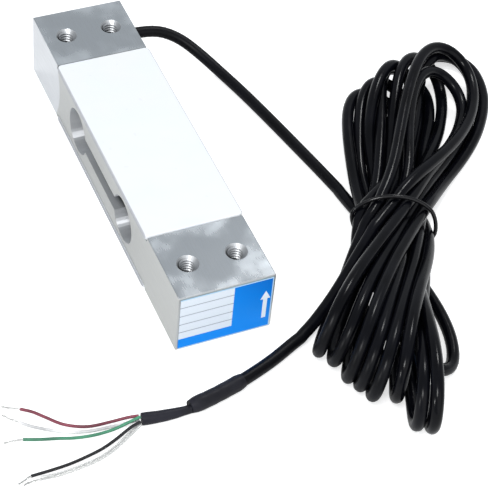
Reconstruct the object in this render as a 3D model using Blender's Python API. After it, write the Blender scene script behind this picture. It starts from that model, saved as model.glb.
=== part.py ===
"""Single point load cell with its cable.

One aluminium beam with a double-hole aperture carries four foil gauges, top and bottom.
A cable leaves the fixed end sideways, lies in a tied hank and ends in bare conductors.
The frame: X along the beam with the load end at +X, Y across it with the cable at +Y,
Z up, and the origin at the middle of the underside.
"""

import math

import bmesh
import bpy
from mathutils import Matrix, Vector

MM = 0.001

# The beam
BEAM_LENGTH = 130.0 * MM
BEAM_WIDTH = 30.0 * MM
BEAM_HEIGHT = 22.0 * MM
EDGE_BREAK = 0.4 * MM
RECESS_LENGTH = 80.0 * MM
RECESS_DEPTH = 1.5 * MM
HOLE_RADIUS = 7.6 * MM
HOLE_PITCH = 40.6 * MM
SLOT_HEIGHT = 5.4 * MM

# Four tapped M6 holes, two at each end
TAPPED_BORE = 5.0 * MM
TAPPED_MOUTH = 6.7 * MM
TAPPED_FROM_END = 12.0 * MM
TAPPED_PITCH_Y = 15.0 * MM

# The cable's way into the beam
CABLE_DIAMETER = 3.8 * MM
CABLE_FROM_END = 5.0 * MM
CABLE_CLEARANCE = 0.35 * MM
CABLE_BORE_PAST = 2.0 * MM
CABLE_INSIDE = 10.0 * MM
SEALANT_DEPTH = 3.0 * MM
SEALANT_WALL = 0.7 * MM
SEALANT_CLEARANCE = 0.3 * MM
CORE_DIAMETER = 0.8 * MM
CORE_SPACING = 1.2 * MM
CORE_BEND = 1.6 * MM
CORE_RUN_IN = 2.1 * MM
CORE_LANDING = 0.4 * MM
CORE_END_GAP = 0.3 * MM
CORE_STEP = 1.2 * MM
WIRE_BORE = 3.4 * MM
LINK_BORE = 1.9 * MM

# Pocket in the top recess and the circuit board that lies in it
POCKET_FROM_GAUGE = 2.7 * MM
POCKET_LENGTH = 12.0 * MM
POCKET_WIDTH = 12.6 * MM
POCKET_DEPTH = 2.0 * MM
BOARD_LENGTH = 8.0 * MM
BOARD_WIDTH = 7.4 * MM
BOARD_THICKNESS = 0.8 * MM
BOARD_END_GAP = 0.5 * MM
BOARD_BED = 0.3 * MM
PAD_HEIGHT = 0.05 * MM
PAD_SIZE = 1.1 * MM
PAD_PITCH = 1.4 * MM
PAD_FROM_END = 0.3 * MM
PAD_FROM_SIDE = 0.1 * MM
CHIP_LENGTH = 2.0 * MM
CHIP_WIDTH = 1.2 * MM
CHIP_HEIGHT = 0.5 * MM
CHIP_CAP = 0.4 * MM
CHIP_SPACING = 2.4 * MM

# Foil gauges
BOND_LINE = 0.1 * MM
GAUGE_LENGTH = 8.0 * MM
GAUGE_WIDTH = 6.0 * MM
CARRIER_THICKNESS = 0.1 * MM
FOIL_HEIGHT = 0.05 * MM
GRID_LINES = 8
GRID_LENGTH = 3.6 * MM
GRID_LINE_WIDTH = 0.3 * MM
GRID_PITCH = 0.55 * MM
GRID_SHIFT = 1.2 * MM
GRID_END_LOOP = 0.4 * MM
TAB_LENGTH = 1.5 * MM
TAB_WIDTH = 1.6 * MM
TAB_EDGE = 0.3 * MM
STRIP_LENGTH = 3.0 * MM
STRIP_WIDTH = 6.0 * MM
STRIP_THICKNESS = 0.2 * MM
STRIP_AHEAD = 6.5 * MM
WIRE_DIAMETER = 0.4 * MM
WIRE_LANDING = 0.6 * MM
WIRE_STEP = 0.8 * MM
JUMPER_STEP = 1.5 * MM
SOLDER_GAP = 0.1 * MM
JUMPER_SIDE = 3.9 * MM
LINK_SPACING = 0.8 * MM
LINK_TAIL = 0.5 * MM

# White coat over the gauges, top and bottom
COAT_PROUD = 0.3 * MM
COAT_INSET = 0.1 * MM
COAT_OVERHANG = 0.4 * MM
COAT_END_GAP = 0.3 * MM
COAT_FLOOR_GAP = 0.3 * MM
COAT_CORNER = 1.6 * MM
COAT_EDGE = 0.45 * MM
COAT_SKIN = 0.6 * MM
COAT_SKIN_BELOW = 0.4 * MM
TROUGH_WIDTH = 13.0 * MM
TROUGH_RIM = 0.8 * MM
TROUGH_PAST_GAUGE = 2.0 * MM

# Label on the load end
LABEL_MARGIN = 0.7 * MM
LABEL_THICKNESS = 0.12 * MM
LABEL_BED = 0.1 * MM
LABEL_PANEL_SHARE = 0.57
LABEL_STRIP_SHARE = 0.17
LABEL_BORDER = 0.35 * MM

# Hank of cable: its waist, its direction, and the stations of its outer shape
HANK_WAIST = (44.0, 64.0)
HANK_ANGLE = 150.46
HANK_SECTION_POWER = 0.62
HANK_SECTION_SIDES = 20
HANK_FLOOR = 0.05
# Along the hank, then its two sides across, then its height, all in millimetres
HANK_STATIONS = [
    (-79.6, -17.8, -9.6, 14.0),
    (-78.0, -18.0, -9.0, 18.0),
    (-73.0, -18.0, -7.0, 20.8),
    (-67.0, -17.4, 4.6, 21.9),
    (-60.0, -18.0, 12.0, 22.0),
    (-55.0, -22.0, 16.5, 22.0),
    (-51.0, -24.2, 18.4, 22.0),
    (-43.0, -24.0, 18.8, 21.8),
    (-33.0, -19.6, 17.0, 21.4),
    (-21.0, -14.4, 14.2, 20.0),
    (-10.0, -13.2, 11.6, 18.2),
    (0.0, -12.8, 11.4, 16.6),
    (10.0, -13.3, 11.8, 17.6),
    (14.0, -14.4, 11.9, 17.8),
    (22.0, -17.3, 15.4, 18.4),
    (36.0, -22.8, 18.0, 19.2),
    (48.0, -27.2, 18.8, 19.8),
    (58.0, -29.1, 16.8, 19.9),
    (67.0, -29.4, 9.4, 19.6),
    (74.0, -28.6, 2.6, 18.4),
    (80.0, -26.0, -2.0, 14.0),
    (83.0, -22.5, -6.5, 9.0),
]

# Tie round the hank's waist
TIE_DIAMETER = 1.3 * MM
TIE_CLEARANCE = 0.3 * MM
TIE_NOTCH_SIDE = 0.45 * MM
TIE_SIDES = 10

# Where the cable droops out of its bore, in millimetres from the middle of the mouth
EXIT_ROUTE = [
    (0.1, 5.0, -0.1),
    (0.5, 10.0, -0.5),
    (1.6, 14.4, -1.6),
]

# Free stretches of the cable, in millimetres, chosen along the cable as it lies
LEAD_ROUTE = [
    (-55.4, 34.0, 7.5),
    (-49.6, 38.4, 5.0),
    (-40.6, 42.6, 2.9),
    (-29.7, 46.1, 2.1),
    (-15.3, 49.5, 1.95),
    (0.8, 52.9, 1.95),
    (14.0, 55.6, 1.95),
    (28.9, 58.35, 1.95),
]
TAIL_ROUTE = [
    (72.5, 25.6, 4.2),
    (73.9, 21.8, 3.1),
    (75.6, 17.2, 2.4),
    (79.2, 9.3, 2.15),
    (82.9, 0.0, 2.55),
    (85.0, -7.2, 2.55),
    (86.5, -13.6, 2.55),
    (87.5, -19.4, 2.55),
]
SLEEVE_REAR_LENGTH = 19.6 * MM
SLEEVE_WALL = 0.25 * MM
SLEEVE_CLEARANCE = 0.3 * MM
SLEEVE_SIDES = 16
SLEEVE_STEP = 2.5 * MM
SLEEVE_FRONT_DIAMETER = 3.7 * MM
SLEEVE_FRONT_ROUTE = [
    (87.75, -19.85, 1.9),
    (87.7, -24.2, 1.9),
    (87.3, -28.8, 1.9),
    (86.6, -33.4, 1.9),
]

# Conductors beyond the front sleeve: diameter, then route, then the end of the bare tip
CONDUCTOR_DIAMETER = 1.1 * MM
DRAIN_DIAMETER = 1.3 * MM
TIP_DIAMETER = 0.7 * MM
TIP_GAP = 0.35 * MM
TIP_STEP = 1.2 * MM
CONDUCTORS = {
    "red": [
        (85.4, -33.8, 2.2), (84.6, -37.0, 1.7), (83.9, -41.5, 0.9), (83.1, -48.0, 0.6),
        (80.3, -53.8, 0.6), (76.1, -57.9, 0.6), (73.3, -60.5, 0.6), (71.1, -63.5, 0.6),
    ],
    "white": [
        (85.8, -33.8, 0.9), (85.6, -37.5, 0.7), (85.3, -42.5, 0.6), (84.7, -48.7, 0.6),
        (82.6, -54.9, 0.6), (78.4, -61.8, 0.6), (75.4, -65.2, 0.6),
    ],
    "green": [
        (86.5, -33.8, 3.0), (86.8, -37.2, 2.4), (87.0, -42.0, 1.3), (86.6, -47.3, 0.7),
        (85.7, -52.5, 0.6), (84.3, -57.0, 0.6), (83.0, -61.7, 0.6), (81.5, -66.0, 0.6),
    ],
    "black": [
        (87.6, -34.1, 2.2), (88.3, -37.2, 1.9), (90.1, -42.2, 0.9), (91.7, -46.8, 0.6),
        (92.8, -51.6, 0.6), (93.6, -56.6, 0.6), (93.9, -61.5, 0.6), (94.0, -67.8, 0.6),
    ],
    "drain": [
        (87.3, -34.1, 0.8), (89.4, -37.6, 0.75), (92.9, -43.8, 0.7), (94.8, -49.2, 0.7),
        (95.7, -55.5, 0.7), (96.0, -60.8, 0.7), (95.6, -65.4, 0.7),
    ],
}
TIPS = {
    "red": [(69.8, -65.8, 0.4), (68.4, -68.1, 0.4)],
    "white": [(73.4, -67.0, 0.4), (71.3, -68.8, 0.4)],
    "green": [(81.0, -68.6, 0.4), (80.8, -71.2, 0.4)],
    "black": [(94.7, -69.9, 0.4), (95.3, -71.8, 0.4)],
    "drain": [(95.7, -68.2, 0.4), (96.1, -70.5, 0.4)],
}

# Facets, and steps along a cord in its own diameters
CORD_STEP = 2.0
CONDUCTOR_STEP = 2.6
HOLE_SEGMENTS = 44
BORE_SEGMENTS = 32
SMALL_SEGMENTS = 20
CUT_PAST = 1.0 * MM

# Derived places
TOP = BEAM_HEIGHT
MIDDLE = BEAM_HEIGHT / 2
HALF_LENGTH = BEAM_LENGTH / 2
HALF_WIDTH = BEAM_WIDTH / 2
RECESS_HALF = RECESS_LENGTH / 2
TOP_FLOOR = BEAM_HEIGHT - RECESS_DEPTH
BOTTOM_FLOOR = RECESS_DEPTH
CABLE_X = -HALF_LENGTH + CABLE_FROM_END
CABLE_END_Y = HALF_WIDTH - CABLE_INSIDE
BORE_END_Y = -CABLE_BORE_PAST
GAUGE_X = HOLE_PITCH / 2
POCKET_X1 = -GAUGE_X - GAUGE_LENGTH / 2 - POCKET_FROM_GAUGE
POCKET_X0 = POCKET_X1 - POCKET_LENGTH
POCKET_FLOOR = TOP_FLOOR - POCKET_DEPTH
BOARD_X1 = POCKET_X1 - BOARD_END_GAP
BOARD_X0 = BOARD_X1 - BOARD_LENGTH
BOARD_BASE = POCKET_FLOOR + BOARD_BED
BOARD_PADS = BOARD_BASE + BOARD_THICKNESS + PAD_HEIGHT
LINK_X = (BOARD_X0 + BOARD_X1) / 2
LINK_Y = (BOARD_WIDTH / 2 + POCKET_WIDTH / 2) / 2
GAUGE_FACE = BOND_LINE + CARRIER_THICKNESS + FOIL_HEIGHT
STRIP_FACE = BOND_LINE + STRIP_THICKNESS + PAD_HEIGHT
STRIP_X = GAUGE_X - GAUGE_LENGTH / 2 - STRIP_AHEAD + STRIP_LENGTH / 2
TAB_X = GAUGE_X + GAUGE_LENGTH / 2 - TAB_EDGE - TAB_LENGTH / 2


def clear_scene():
    for obj in list(bpy.data.objects):
        bpy.data.objects.remove(obj, do_unlink=True)


def material(name, colour, metallic, roughness):
    found = bpy.data.materials.get(name)
    if found:
        return found
    made = bpy.data.materials.new(name)
    made.use_nodes = True
    shader = made.node_tree.nodes["Principled BSDF"]
    shader.inputs["Base Color"].default_value = (*colour, 1.0)
    shader.inputs["Metallic"].default_value = metallic
    shader.inputs["Roughness"].default_value = roughness
    made.diffuse_color = (*colour, 1.0)
    return made


def aluminium():
    return material("aluminium", (0.62, 0.63, 0.65), 1.0, 0.32)


def black_sheath():
    return material("black_sheath", (0.012, 0.012, 0.014), 0.0, 0.35)


def link(name, data, surface, location=(0, 0, 0), rotation=(0, 0, 0)):
    obj = bpy.data.objects.new(name, data)
    if surface and not data.materials:
        data.materials.append(surface)
    obj.location = location
    obj.rotation_euler = rotation
    bpy.context.scene.collection.objects.link(obj)
    return obj


def mesh_from(name, bm, smooth_below=None):
    bmesh.ops.recalc_face_normals(bm, faces=bm.faces)
    mesh = bpy.data.meshes.new(name)
    bm.to_mesh(mesh)
    bm.free()
    if smooth_below is not None:
        mesh.shade_smooth()
        mesh.set_sharp_from_angle(angle=math.radians(smooth_below))
    return mesh


def solid(name, bm, surface, location=(0, 0, 0), rotation=(0, 0, 0), smooth_below=None):
    return link(name, mesh_from(name, bm, smooth_below), surface, location, rotation)


def cut(target, name, bm):
    tool = link(name, mesh_from(name, bm), None)
    tool.hide_render = True
    tool.display_type = "WIRE"
    step = target.modifiers.new(name, "BOOLEAN")
    step.operation = "DIFFERENCE"
    step.solver = "EXACT"
    step.object = tool
    return tool


def prism(outline, low, high, axis="Y"):
    """Closed prism of an outline, drawn in XZ and run along Y, or drawn in XY and run along Z."""
    bm = bmesh.new()
    ends = []
    for level in (low, high):
        if axis == "Y":
            ends.append([bm.verts.new((a, level, b)) for a, b in outline])
        else:
            ends.append([bm.verts.new((a, b, level)) for a, b in outline])
    count = len(outline)
    bm.faces.new(ends[0])
    bm.faces.new(list(reversed(ends[1])))
    for k in range(count):
        after = (k + 1) % count
        bm.faces.new((ends[0][k], ends[0][after], ends[1][after], ends[1][k]))
    bmesh.ops.recalc_face_normals(bm, faces=bm.faces)
    return bm


def box(low, high):
    outline = [(low[0], low[1]), (high[0], low[1]), (high[0], high[1]), (low[0], high[1])]
    return prism(outline, low[2], high[2], axis="Z")


def turned(profile, segments):
    """Solid of revolution about Z from (radius, height) pairs, lowest first."""
    bm = bmesh.new()
    rings = []
    for radius, height in profile:
        ring = []
        for k in range(segments):
            angle = 2 * math.pi * k / segments
            ring.append(bm.verts.new((radius * math.cos(angle), radius * math.sin(angle), height)))
        rings.append(ring)
    bm.faces.new(rings[0])
    bm.faces.new(rings[-1])
    for lower, upper in zip(rings, rings[1:]):
        for k in range(segments):
            after = (k + 1) % segments
            bm.faces.new((lower[k], lower[after], upper[after], upper[k]))
    bmesh.ops.recalc_face_normals(bm, faces=bm.faces)
    return bm


def rod_between(start, end, radius, segments):
    start = Vector(start)
    along = Vector(end) - start
    bm = turned([(radius, 0.0), (radius, along.length)], segments)
    turn = along.to_track_quat("Z", "Y").to_matrix().to_4x4()
    bmesh.ops.transform(bm, matrix=Matrix.Translation(start) @ turn, verts=bm.verts)
    return bm


def arc(centre, radius, start, end, count):
    points = []
    for k in range(count + 1):
        angle = math.radians(start + (end - start) * k / count)
        points.append((centre[0] + radius * math.cos(angle), centre[1] + radius * math.sin(angle)))
    return points


def rounded_rectangle(half_x, half_y, radius, count=5):
    points = []
    corners = [(half_x, half_y, 0), (-half_x, half_y, 90), (-half_x, -half_y, 180), (half_x, -half_y, 270)]
    for x, y, start in corners:
        centre = (x - math.copysign(radius, x), y - math.copysign(radius, y))
        points += arc(centre, radius, start, start + 90, count)
    return points


def smooth_route(route, spacing):
    """Points at about equal steps along a smooth curve through the route's own points."""
    points = [Vector(p) for p in route]
    ends = [2 * points[0] - points[1]] + points + [2 * points[-1] - points[-2]]
    fine = []
    for a, b, c, d in zip(ends, ends[1:], ends[2:], ends[3:]):
        for k in range(24):
            t = k / 24
            fine.append(
                0.5 * (2 * b + (c - a) * t + (2 * a - 5 * b + 4 * c - d) * t ** 2
                       + (3 * b - a - 3 * c + d) * t ** 3)
            )
    fine.append(points[-1])
    reach = [0.0]
    for p, q in zip(fine, fine[1:]):
        reach.append(reach[-1] + (q - p).length)
    steps = max(2, round(reach[-1] / spacing))
    out = []
    k = 0
    for step in range(steps + 1):
        wanted = reach[-1] * step / steps
        while k < len(fine) - 2 and reach[k + 1] < wanted:
            k += 1
        share = (wanted - reach[k]) / max(reach[k + 1] - reach[k], 1e-12)
        out.append(fine[k].lerp(fine[k + 1], min(1.0, max(0.0, share))))
    return out


def metres(route):
    return [Vector(p) * MM for p in route]


def cord(name, points, diameter, surface, resolution=2):
    """Round cord as a curve with a bevel and filled ends."""
    curve = bpy.data.curves.new(name, "CURVE")
    curve.dimensions = "3D"
    curve.bevel_depth = diameter / 2
    curve.bevel_resolution = resolution
    curve.use_fill_caps = True
    spline = curve.splines.new("POLY")
    spline.points.add(len(points) - 1)
    for point, place in zip(spline.points, points):
        point.co = (*place, 1.0)
    spline.use_smooth = True
    return link(name, curve, surface)


def frames_along(points, closed):
    """A side and an up direction at each point of a path, carried along without twist."""
    count = len(points)
    tangents = []
    for k in range(count):
        ahead = points[(k + 1) % count] if closed or k + 1 < count else points[k]
        behind = points[k - 1] if closed or k > 0 else points[k]
        tangents.append((ahead - behind).normalized())
    side = tangents[0].orthogonal().normalized()
    out = []
    for tangent in tangents:
        side = (side - tangent * side.dot(tangent)).normalized()
        out.append((side, tangent.cross(side)))
    return out


def swept(points, radius, segments, inner=None, closed=False):
    """Round bar, hollow sleeve or closed ring along a path."""
    bm = bmesh.new()
    frames = frames_along(points, closed)

    def ring(place, frame, size):
        verts = []
        for k in range(segments):
            angle = 2 * math.pi * k / segments
            verts.append(bm.verts.new(place + (frame[0] * math.cos(angle) + frame[1] * math.sin(angle)) * size))
        return verts

    def skin(rings):
        for one, two in zip(rings, rings[1:] + (rings[:1] if closed else [])):
            for k in range(segments):
                after = (k + 1) % segments
                bm.faces.new((one[k], one[after], two[after], two[k]))

    outer = [ring(p, f, radius) for p, f in zip(points, frames)]
    skin(outer)
    if inner is None and not closed:
        bm.faces.new(outer[0])
        bm.faces.new(outer[-1])
    if inner is not None:
        bore = [ring(p, f, inner) for p, f in zip(points, frames)]
        skin(bore)
        for end in (0, -1):
            for k in range(segments):
                after = (k + 1) % segments
                bm.faces.new((outer[end][k], outer[end][after], bore[end][after], bore[end][k]))
    bmesh.ops.recalc_face_normals(bm, faces=bm.faces)
    return bm


def stepped_plate(size, thickness, raised, step):
    """Flat plate on z = 0 with rectangles (x0, y0, x1, y1) standing up from its top face."""
    half_x = size[0] / 2
    half_y = size[1] / 2
    xs = sorted({-half_x, half_x} | {r[0] for r in raised} | {r[2] for r in raised})
    ys = sorted({-half_y, half_y} | {r[1] for r in raised} | {r[3] for r in raised})
    tight = [[], []]
    for axis, values in enumerate((xs, ys)):
        for value in values:
            if not tight[axis] or value - tight[axis][-1] > 1e-8:
                tight[axis].append(value)
    xs, ys = tight
    bm = bmesh.new()
    grid = [[bm.verts.new((x, y, thickness)) for y in ys] for x in xs]
    lifted = []
    for i in range(len(xs) - 1):
        for j in range(len(ys) - 1):
            face = bm.faces.new((grid[i][j], grid[i + 1][j], grid[i + 1][j + 1], grid[i][j + 1]))
            mid_x = (xs[i] + xs[i + 1]) / 2
            mid_y = (ys[j] + ys[j + 1]) / 2
            if any(r[0] < mid_x < r[2] and r[1] < mid_y < r[3] for r in raised):
                lifted.append(face)
    rim = [v for v in grid[0]] + [row[-1] for row in grid[1:]]
    rim += list(reversed(grid[-1][:-1])) + [row[0] for row in reversed(grid[1:-1])]
    base = [bm.verts.new((v.co.x, v.co.y, 0.0)) for v in rim]
    for k in range(len(rim)):
        after = (k + 1) % len(rim)
        bm.faces.new((rim[k], rim[after], base[after], base[k]))
    bm.faces.new(base)
    if lifted and step:
        made = bmesh.ops.extrude_face_region(bm, geom=lifted)
        risen = [g for g in made["geom"] if isinstance(g, bmesh.types.BMVert)]
        bmesh.ops.translate(bm, vec=(0, 0, step), verts=risen)
        bmesh.ops.delete(bm, geom=lifted, context="FACES_ONLY")
    bmesh.ops.recalc_face_normals(bm, faces=bm.faces)
    return bm


def beam_outline():
    """Side outline of the bar with its shallow recess above and below."""
    return [
        (-HALF_LENGTH, 0.0), (-RECESS_HALF, 0.0), (-RECESS_HALF, BOTTOM_FLOOR), (RECESS_HALF, BOTTOM_FLOOR),
        (RECESS_HALF, 0.0), (HALF_LENGTH, 0.0), (HALF_LENGTH, TOP), (RECESS_HALF, TOP),
        (RECESS_HALF, TOP_FLOOR), (-RECESS_HALF, TOP_FLOOR), (-RECESS_HALF, TOP), (-HALF_LENGTH, TOP),
    ]


def is_outer_edge(edge):
    """True for the handled edges of the two end pads, which are lightly broken."""
    middle = (edge.verts[0].co + edge.verts[1].co) / 2
    near = 1e-6
    at_end = abs(abs(middle.x) - HALF_LENGTH) < near
    at_side = abs(abs(middle.y) - HALF_WIDTH) < near
    at_face = abs(middle.z) < near or abs(middle.z - TOP) < near
    on_pad = abs(middle.x) > RECESS_HALF + near
    return on_pad and at_end + at_side + at_face >= 2


def aperture_outline():
    """Two round holes joined by a slot, seen from the side."""
    half_slot = SLOT_HEIGHT / 2
    meet = math.degrees(math.asin(half_slot / HOLE_RADIUS))
    right = arc((HOLE_PITCH / 2, MIDDLE), HOLE_RADIUS, -180 + meet, 180 - meet, HOLE_SEGMENTS)
    left = arc((-HOLE_PITCH / 2, MIDDLE), HOLE_RADIUS, meet, 360 - meet, HOLE_SEGMENTS)
    return right + left


def tapped_holes():
    """Places of the four mounting holes in plan."""
    reach = HALF_LENGTH - TAPPED_FROM_END
    side = TAPPED_PITCH_Y / 2
    return [(x, y) for x in (-reach, reach) for y in (-side, side)]


def wire_bore_axis():
    """The slanted bore runs from the cable's bore up into the board's pocket."""
    start = Vector((CABLE_X, 0.0, MIDDLE))
    end = Vector((POCKET_X0, 0.0, (TOP_FLOOR + POCKET_FLOOR) / 2))
    return start, end


def make_beam():
    bm = prism(beam_outline(), -HALF_WIDTH, HALF_WIDTH)
    edges = [e for e in bm.edges if is_outer_edge(e)]
    bmesh.ops.bevel(bm, geom=edges, offset=EDGE_BREAK, segments=2, profile=0.5, affect="EDGES")
    beam = solid("beam", bm, aluminium(), smooth_below=30)
    past = HALF_WIDTH + CUT_PAST
    cut(beam, "cut_aperture", prism(aperture_outline(), -past, past))
    throat = (TAPPED_MOUTH - TAPPED_BORE) / 2
    flare = TAPPED_MOUTH / 2 + CUT_PAST
    profile = [
        (flare, -CUT_PAST), (TAPPED_BORE / 2, throat),
        (TAPPED_BORE / 2, TOP - throat), (flare, TOP + CUT_PAST),
    ]
    for count, (x, y) in enumerate(tapped_holes(), 1):
        bore = turned(profile, BORE_SEGMENTS)
        bmesh.ops.translate(bore, vec=(x, y, 0), verts=bore.verts)
        cut(beam, f"cut_tapped_{count}", bore)
    bore_radius = CABLE_DIAMETER / 2 + CABLE_CLEARANCE
    mouth = (CABLE_X, HALF_WIDTH + CUT_PAST, MIDDLE)
    cut(beam, "cut_cable_bore", rod_between(mouth, (CABLE_X, BORE_END_Y, MIDDLE), bore_radius, BORE_SEGMENTS))
    seat_radius = bore_radius + SEALANT_WALL + SEALANT_CLEARANCE
    seat_end = (CABLE_X, HALF_WIDTH - SEALANT_DEPTH - SEALANT_CLEARANCE, MIDDLE)
    cut(beam, "cut_sealant_seat", rod_between(mouth, seat_end, seat_radius, BORE_SEGMENTS))
    half_pocket = POCKET_WIDTH / 2
    low = (POCKET_X0, -half_pocket, POCKET_FLOOR)
    high = (POCKET_X1, half_pocket, TOP + CUT_PAST)
    cut(beam, "cut_pocket", box(low, high))
    start, end = wire_bore_axis()
    ahead = (end - start).normalized() * CUT_PAST
    cut(beam, "cut_wire_bore", rod_between(start, end + ahead, WIRE_BORE / 2, SMALL_SEGMENTS))
    link_low = (LINK_X, LINK_Y, BOTTOM_FLOOR - CUT_PAST)
    link_high = (LINK_X, LINK_Y, POCKET_FLOOR + CUT_PAST)
    cut(beam, "cut_link_bore", rod_between(link_low, link_high, LINK_BORE / 2, SMALL_SEGMENTS))
    return beam


def coat(name, low, high, outer_is_top):
    """White coat as a slab with softened outer edges, open towards the beam over the gauges."""
    half_x = RECESS_HALF - COAT_END_GAP
    half_y = HALF_WIDTH + COAT_OVERHANG
    bm = prism(rounded_rectangle(half_x, half_y, COAT_CORNER), low, high, axis="Z")
    outer = high if outer_is_top else low
    rim = [e for e in bm.edges if all(abs(v.co.z - outer) < 1e-7 for v in e.verts)]
    bmesh.ops.bevel(bm, geom=rim, offset=COAT_EDGE, segments=2, profile=0.5, affect="EDGES")
    white = material("white_silicone", (0.84, 0.87, 0.9), 0.0, 0.45)
    slab = solid(name, bm, white, smooth_below=50)
    start = -half_x + TROUGH_RIM
    stop = GAUGE_X + GAUGE_LENGTH / 2 + TROUGH_PAST_GAUGE
    side = TROUGH_WIDTH / 2
    if outer_is_top:
        trough = box((start, -side, low - CUT_PAST), (stop, side, high - COAT_SKIN))
    else:
        trough = box((start, -side, low + COAT_SKIN_BELOW), (stop, side, high + CUT_PAST))
    cut(slab, f"cut_{name}_trough", trough)
    return slab


def gauge_pattern():
    """Rectangles of the foil: grid lines, end loops, two leads and two solder tabs."""
    first = -(GRID_LINES - 1) * GRID_PITCH / 2
    half = GRID_LINE_WIDTH / 2
    start = GRID_SHIFT - GRID_LENGTH / 2
    stop = GRID_SHIFT + GRID_LENGTH / 2
    lines = [first + k * GRID_PITCH for k in range(GRID_LINES)]
    pattern = []
    for k, y in enumerate(lines):
        pattern.append((start, y - half, stop, y + half))
        if k + 1 < GRID_LINES:
            if k % 2 == 0:
                pattern.append((stop, y - half, stop + GRID_END_LOOP, lines[k + 1] + half))
            else:
                pattern.append((start - GRID_END_LOOP, y - half, start, lines[k + 1] + half))
    tab_start = -GAUGE_LENGTH / 2 + TAB_EDGE
    tab_stop = tab_start + TAB_LENGTH
    for side, y in ((-1, lines[0]), (1, lines[-1])):
        inner = side * (abs(y) + half - TAB_WIDTH)
        outer = side * (abs(y) + half)
        pattern.append((tab_start, min(inner, outer), tab_stop, max(inner, outer)))
        pattern.append((tab_stop, y - half, start, y + half))
    return pattern


def tab_centre_y():
    edge = (GRID_LINES - 1) * GRID_PITCH / 2 + GRID_LINE_WIDTH / 2
    return edge - TAB_WIDTH / 2


def make_gauges():
    """Two gauges over the holes on top and two below, all alike."""
    bm = stepped_plate((GAUGE_LENGTH, GAUGE_WIDTH), CARRIER_THICKNESS, gauge_pattern(), FOIL_HEIGHT)
    mesh = mesh_from("strain_gauge", bm)
    mesh.materials.append(material("gauge_foil", (0.75, 0.55, 0.2), 0.3, 0.4))
    for end, x in (("fixed", -GAUGE_X), ("load", GAUGE_X)):
        link(f"strain_gauge_top_{end}", mesh, None, (x, 0, TOP_FLOOR + BOND_LINE))
        below = link(f"strain_gauge_bottom_{end}", mesh, None, (x, 0, BOTTOM_FLOOR - BOND_LINE))
        below.rotation_euler = (math.pi, 0, 0)


def strip_pads():
    side = tab_centre_y()
    half = PAD_SIZE / 2
    return [(-half, y - half, half, y + half) for y in (-side, side)]


def make_strips():
    """Small solder strips ahead of the load-side gauges."""
    bm = stepped_plate((STRIP_LENGTH, STRIP_WIDTH), STRIP_THICKNESS, strip_pads(), PAD_HEIGHT)
    mesh = mesh_from("terminal_strip", bm)
    mesh.materials.append(material("strip_copper", (0.7, 0.45, 0.25), 0.6, 0.4))
    link("terminal_strip_top", mesh, None, (STRIP_X, 0, TOP_FLOOR + BOND_LINE))
    below = link("terminal_strip_bottom", mesh, None, (STRIP_X, 0, BOTTOM_FLOOR - BOND_LINE))
    below.rotation_euler = (math.pi, 0, 0)


def core_rows():
    """Across-places of the four cores on the board, lower pair outside the upper pair."""
    return {
        "red": -1.5 * PAD_PITCH, "white": -0.5 * PAD_PITCH,
        "green": 0.5 * PAD_PITCH, "black": 1.5 * PAD_PITCH,
    }


def wire_rows():
    """Across-places of the four wire pads at the board's far edge."""
    outer = BOARD_WIDTH / 2 - PAD_SIZE / 2 - PAD_FROM_SIDE
    return {"gauge": outer - PAD_PITCH, "jumper": outer}


def make_board():
    half = PAD_SIZE / 2
    pads = []
    near = -BOARD_LENGTH / 2 + half + PAD_FROM_END
    far = BOARD_LENGTH / 2 - half - PAD_FROM_END
    for y in core_rows().values():
        pads.append((near - half, y - half, near + half, y + half))
    for y in wire_rows().values():
        pads.append((far - half, y - half, far + half, y + half))
        pads.append((far - half, -y - half, far + half, -y + half))
    bm = stepped_plate((BOARD_LENGTH, BOARD_WIDTH), BOARD_THICKNESS, pads, PAD_HEIGHT)
    green = material("board_green", (0.03, 0.2, 0.08), 0.0, 0.4)
    solid("compensation_board", bm, green, ((BOARD_X0 + BOARD_X1) / 2, 0, BOARD_BASE))


def make_resistors():
    """Three trim resistors in a row across the board."""
    caps = []
    for side in (-1, 1):
        outer = side * CHIP_LENGTH / 2
        inner = side * (CHIP_LENGTH / 2 - CHIP_CAP)
        caps.append((min(inner, outer), -CHIP_WIDTH / 2, max(inner, outer), CHIP_WIDTH / 2))
    black = material("resistor_black", (0.03, 0.03, 0.035), 0.0, 0.5)
    base = BOARD_BASE + BOARD_THICKNESS + BOND_LINE
    x = (BOARD_X0 + BOARD_X1) / 2
    for k, name in enumerate(("zero_resistor", "span_resistor", "temperature_resistor")):
        bm = stepped_plate((CHIP_LENGTH, CHIP_WIDTH), CHIP_HEIGHT, caps, PAD_HEIGHT)
        solid(name, bm, black, (x, (k - 1) * CHIP_SPACING, base))


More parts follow.
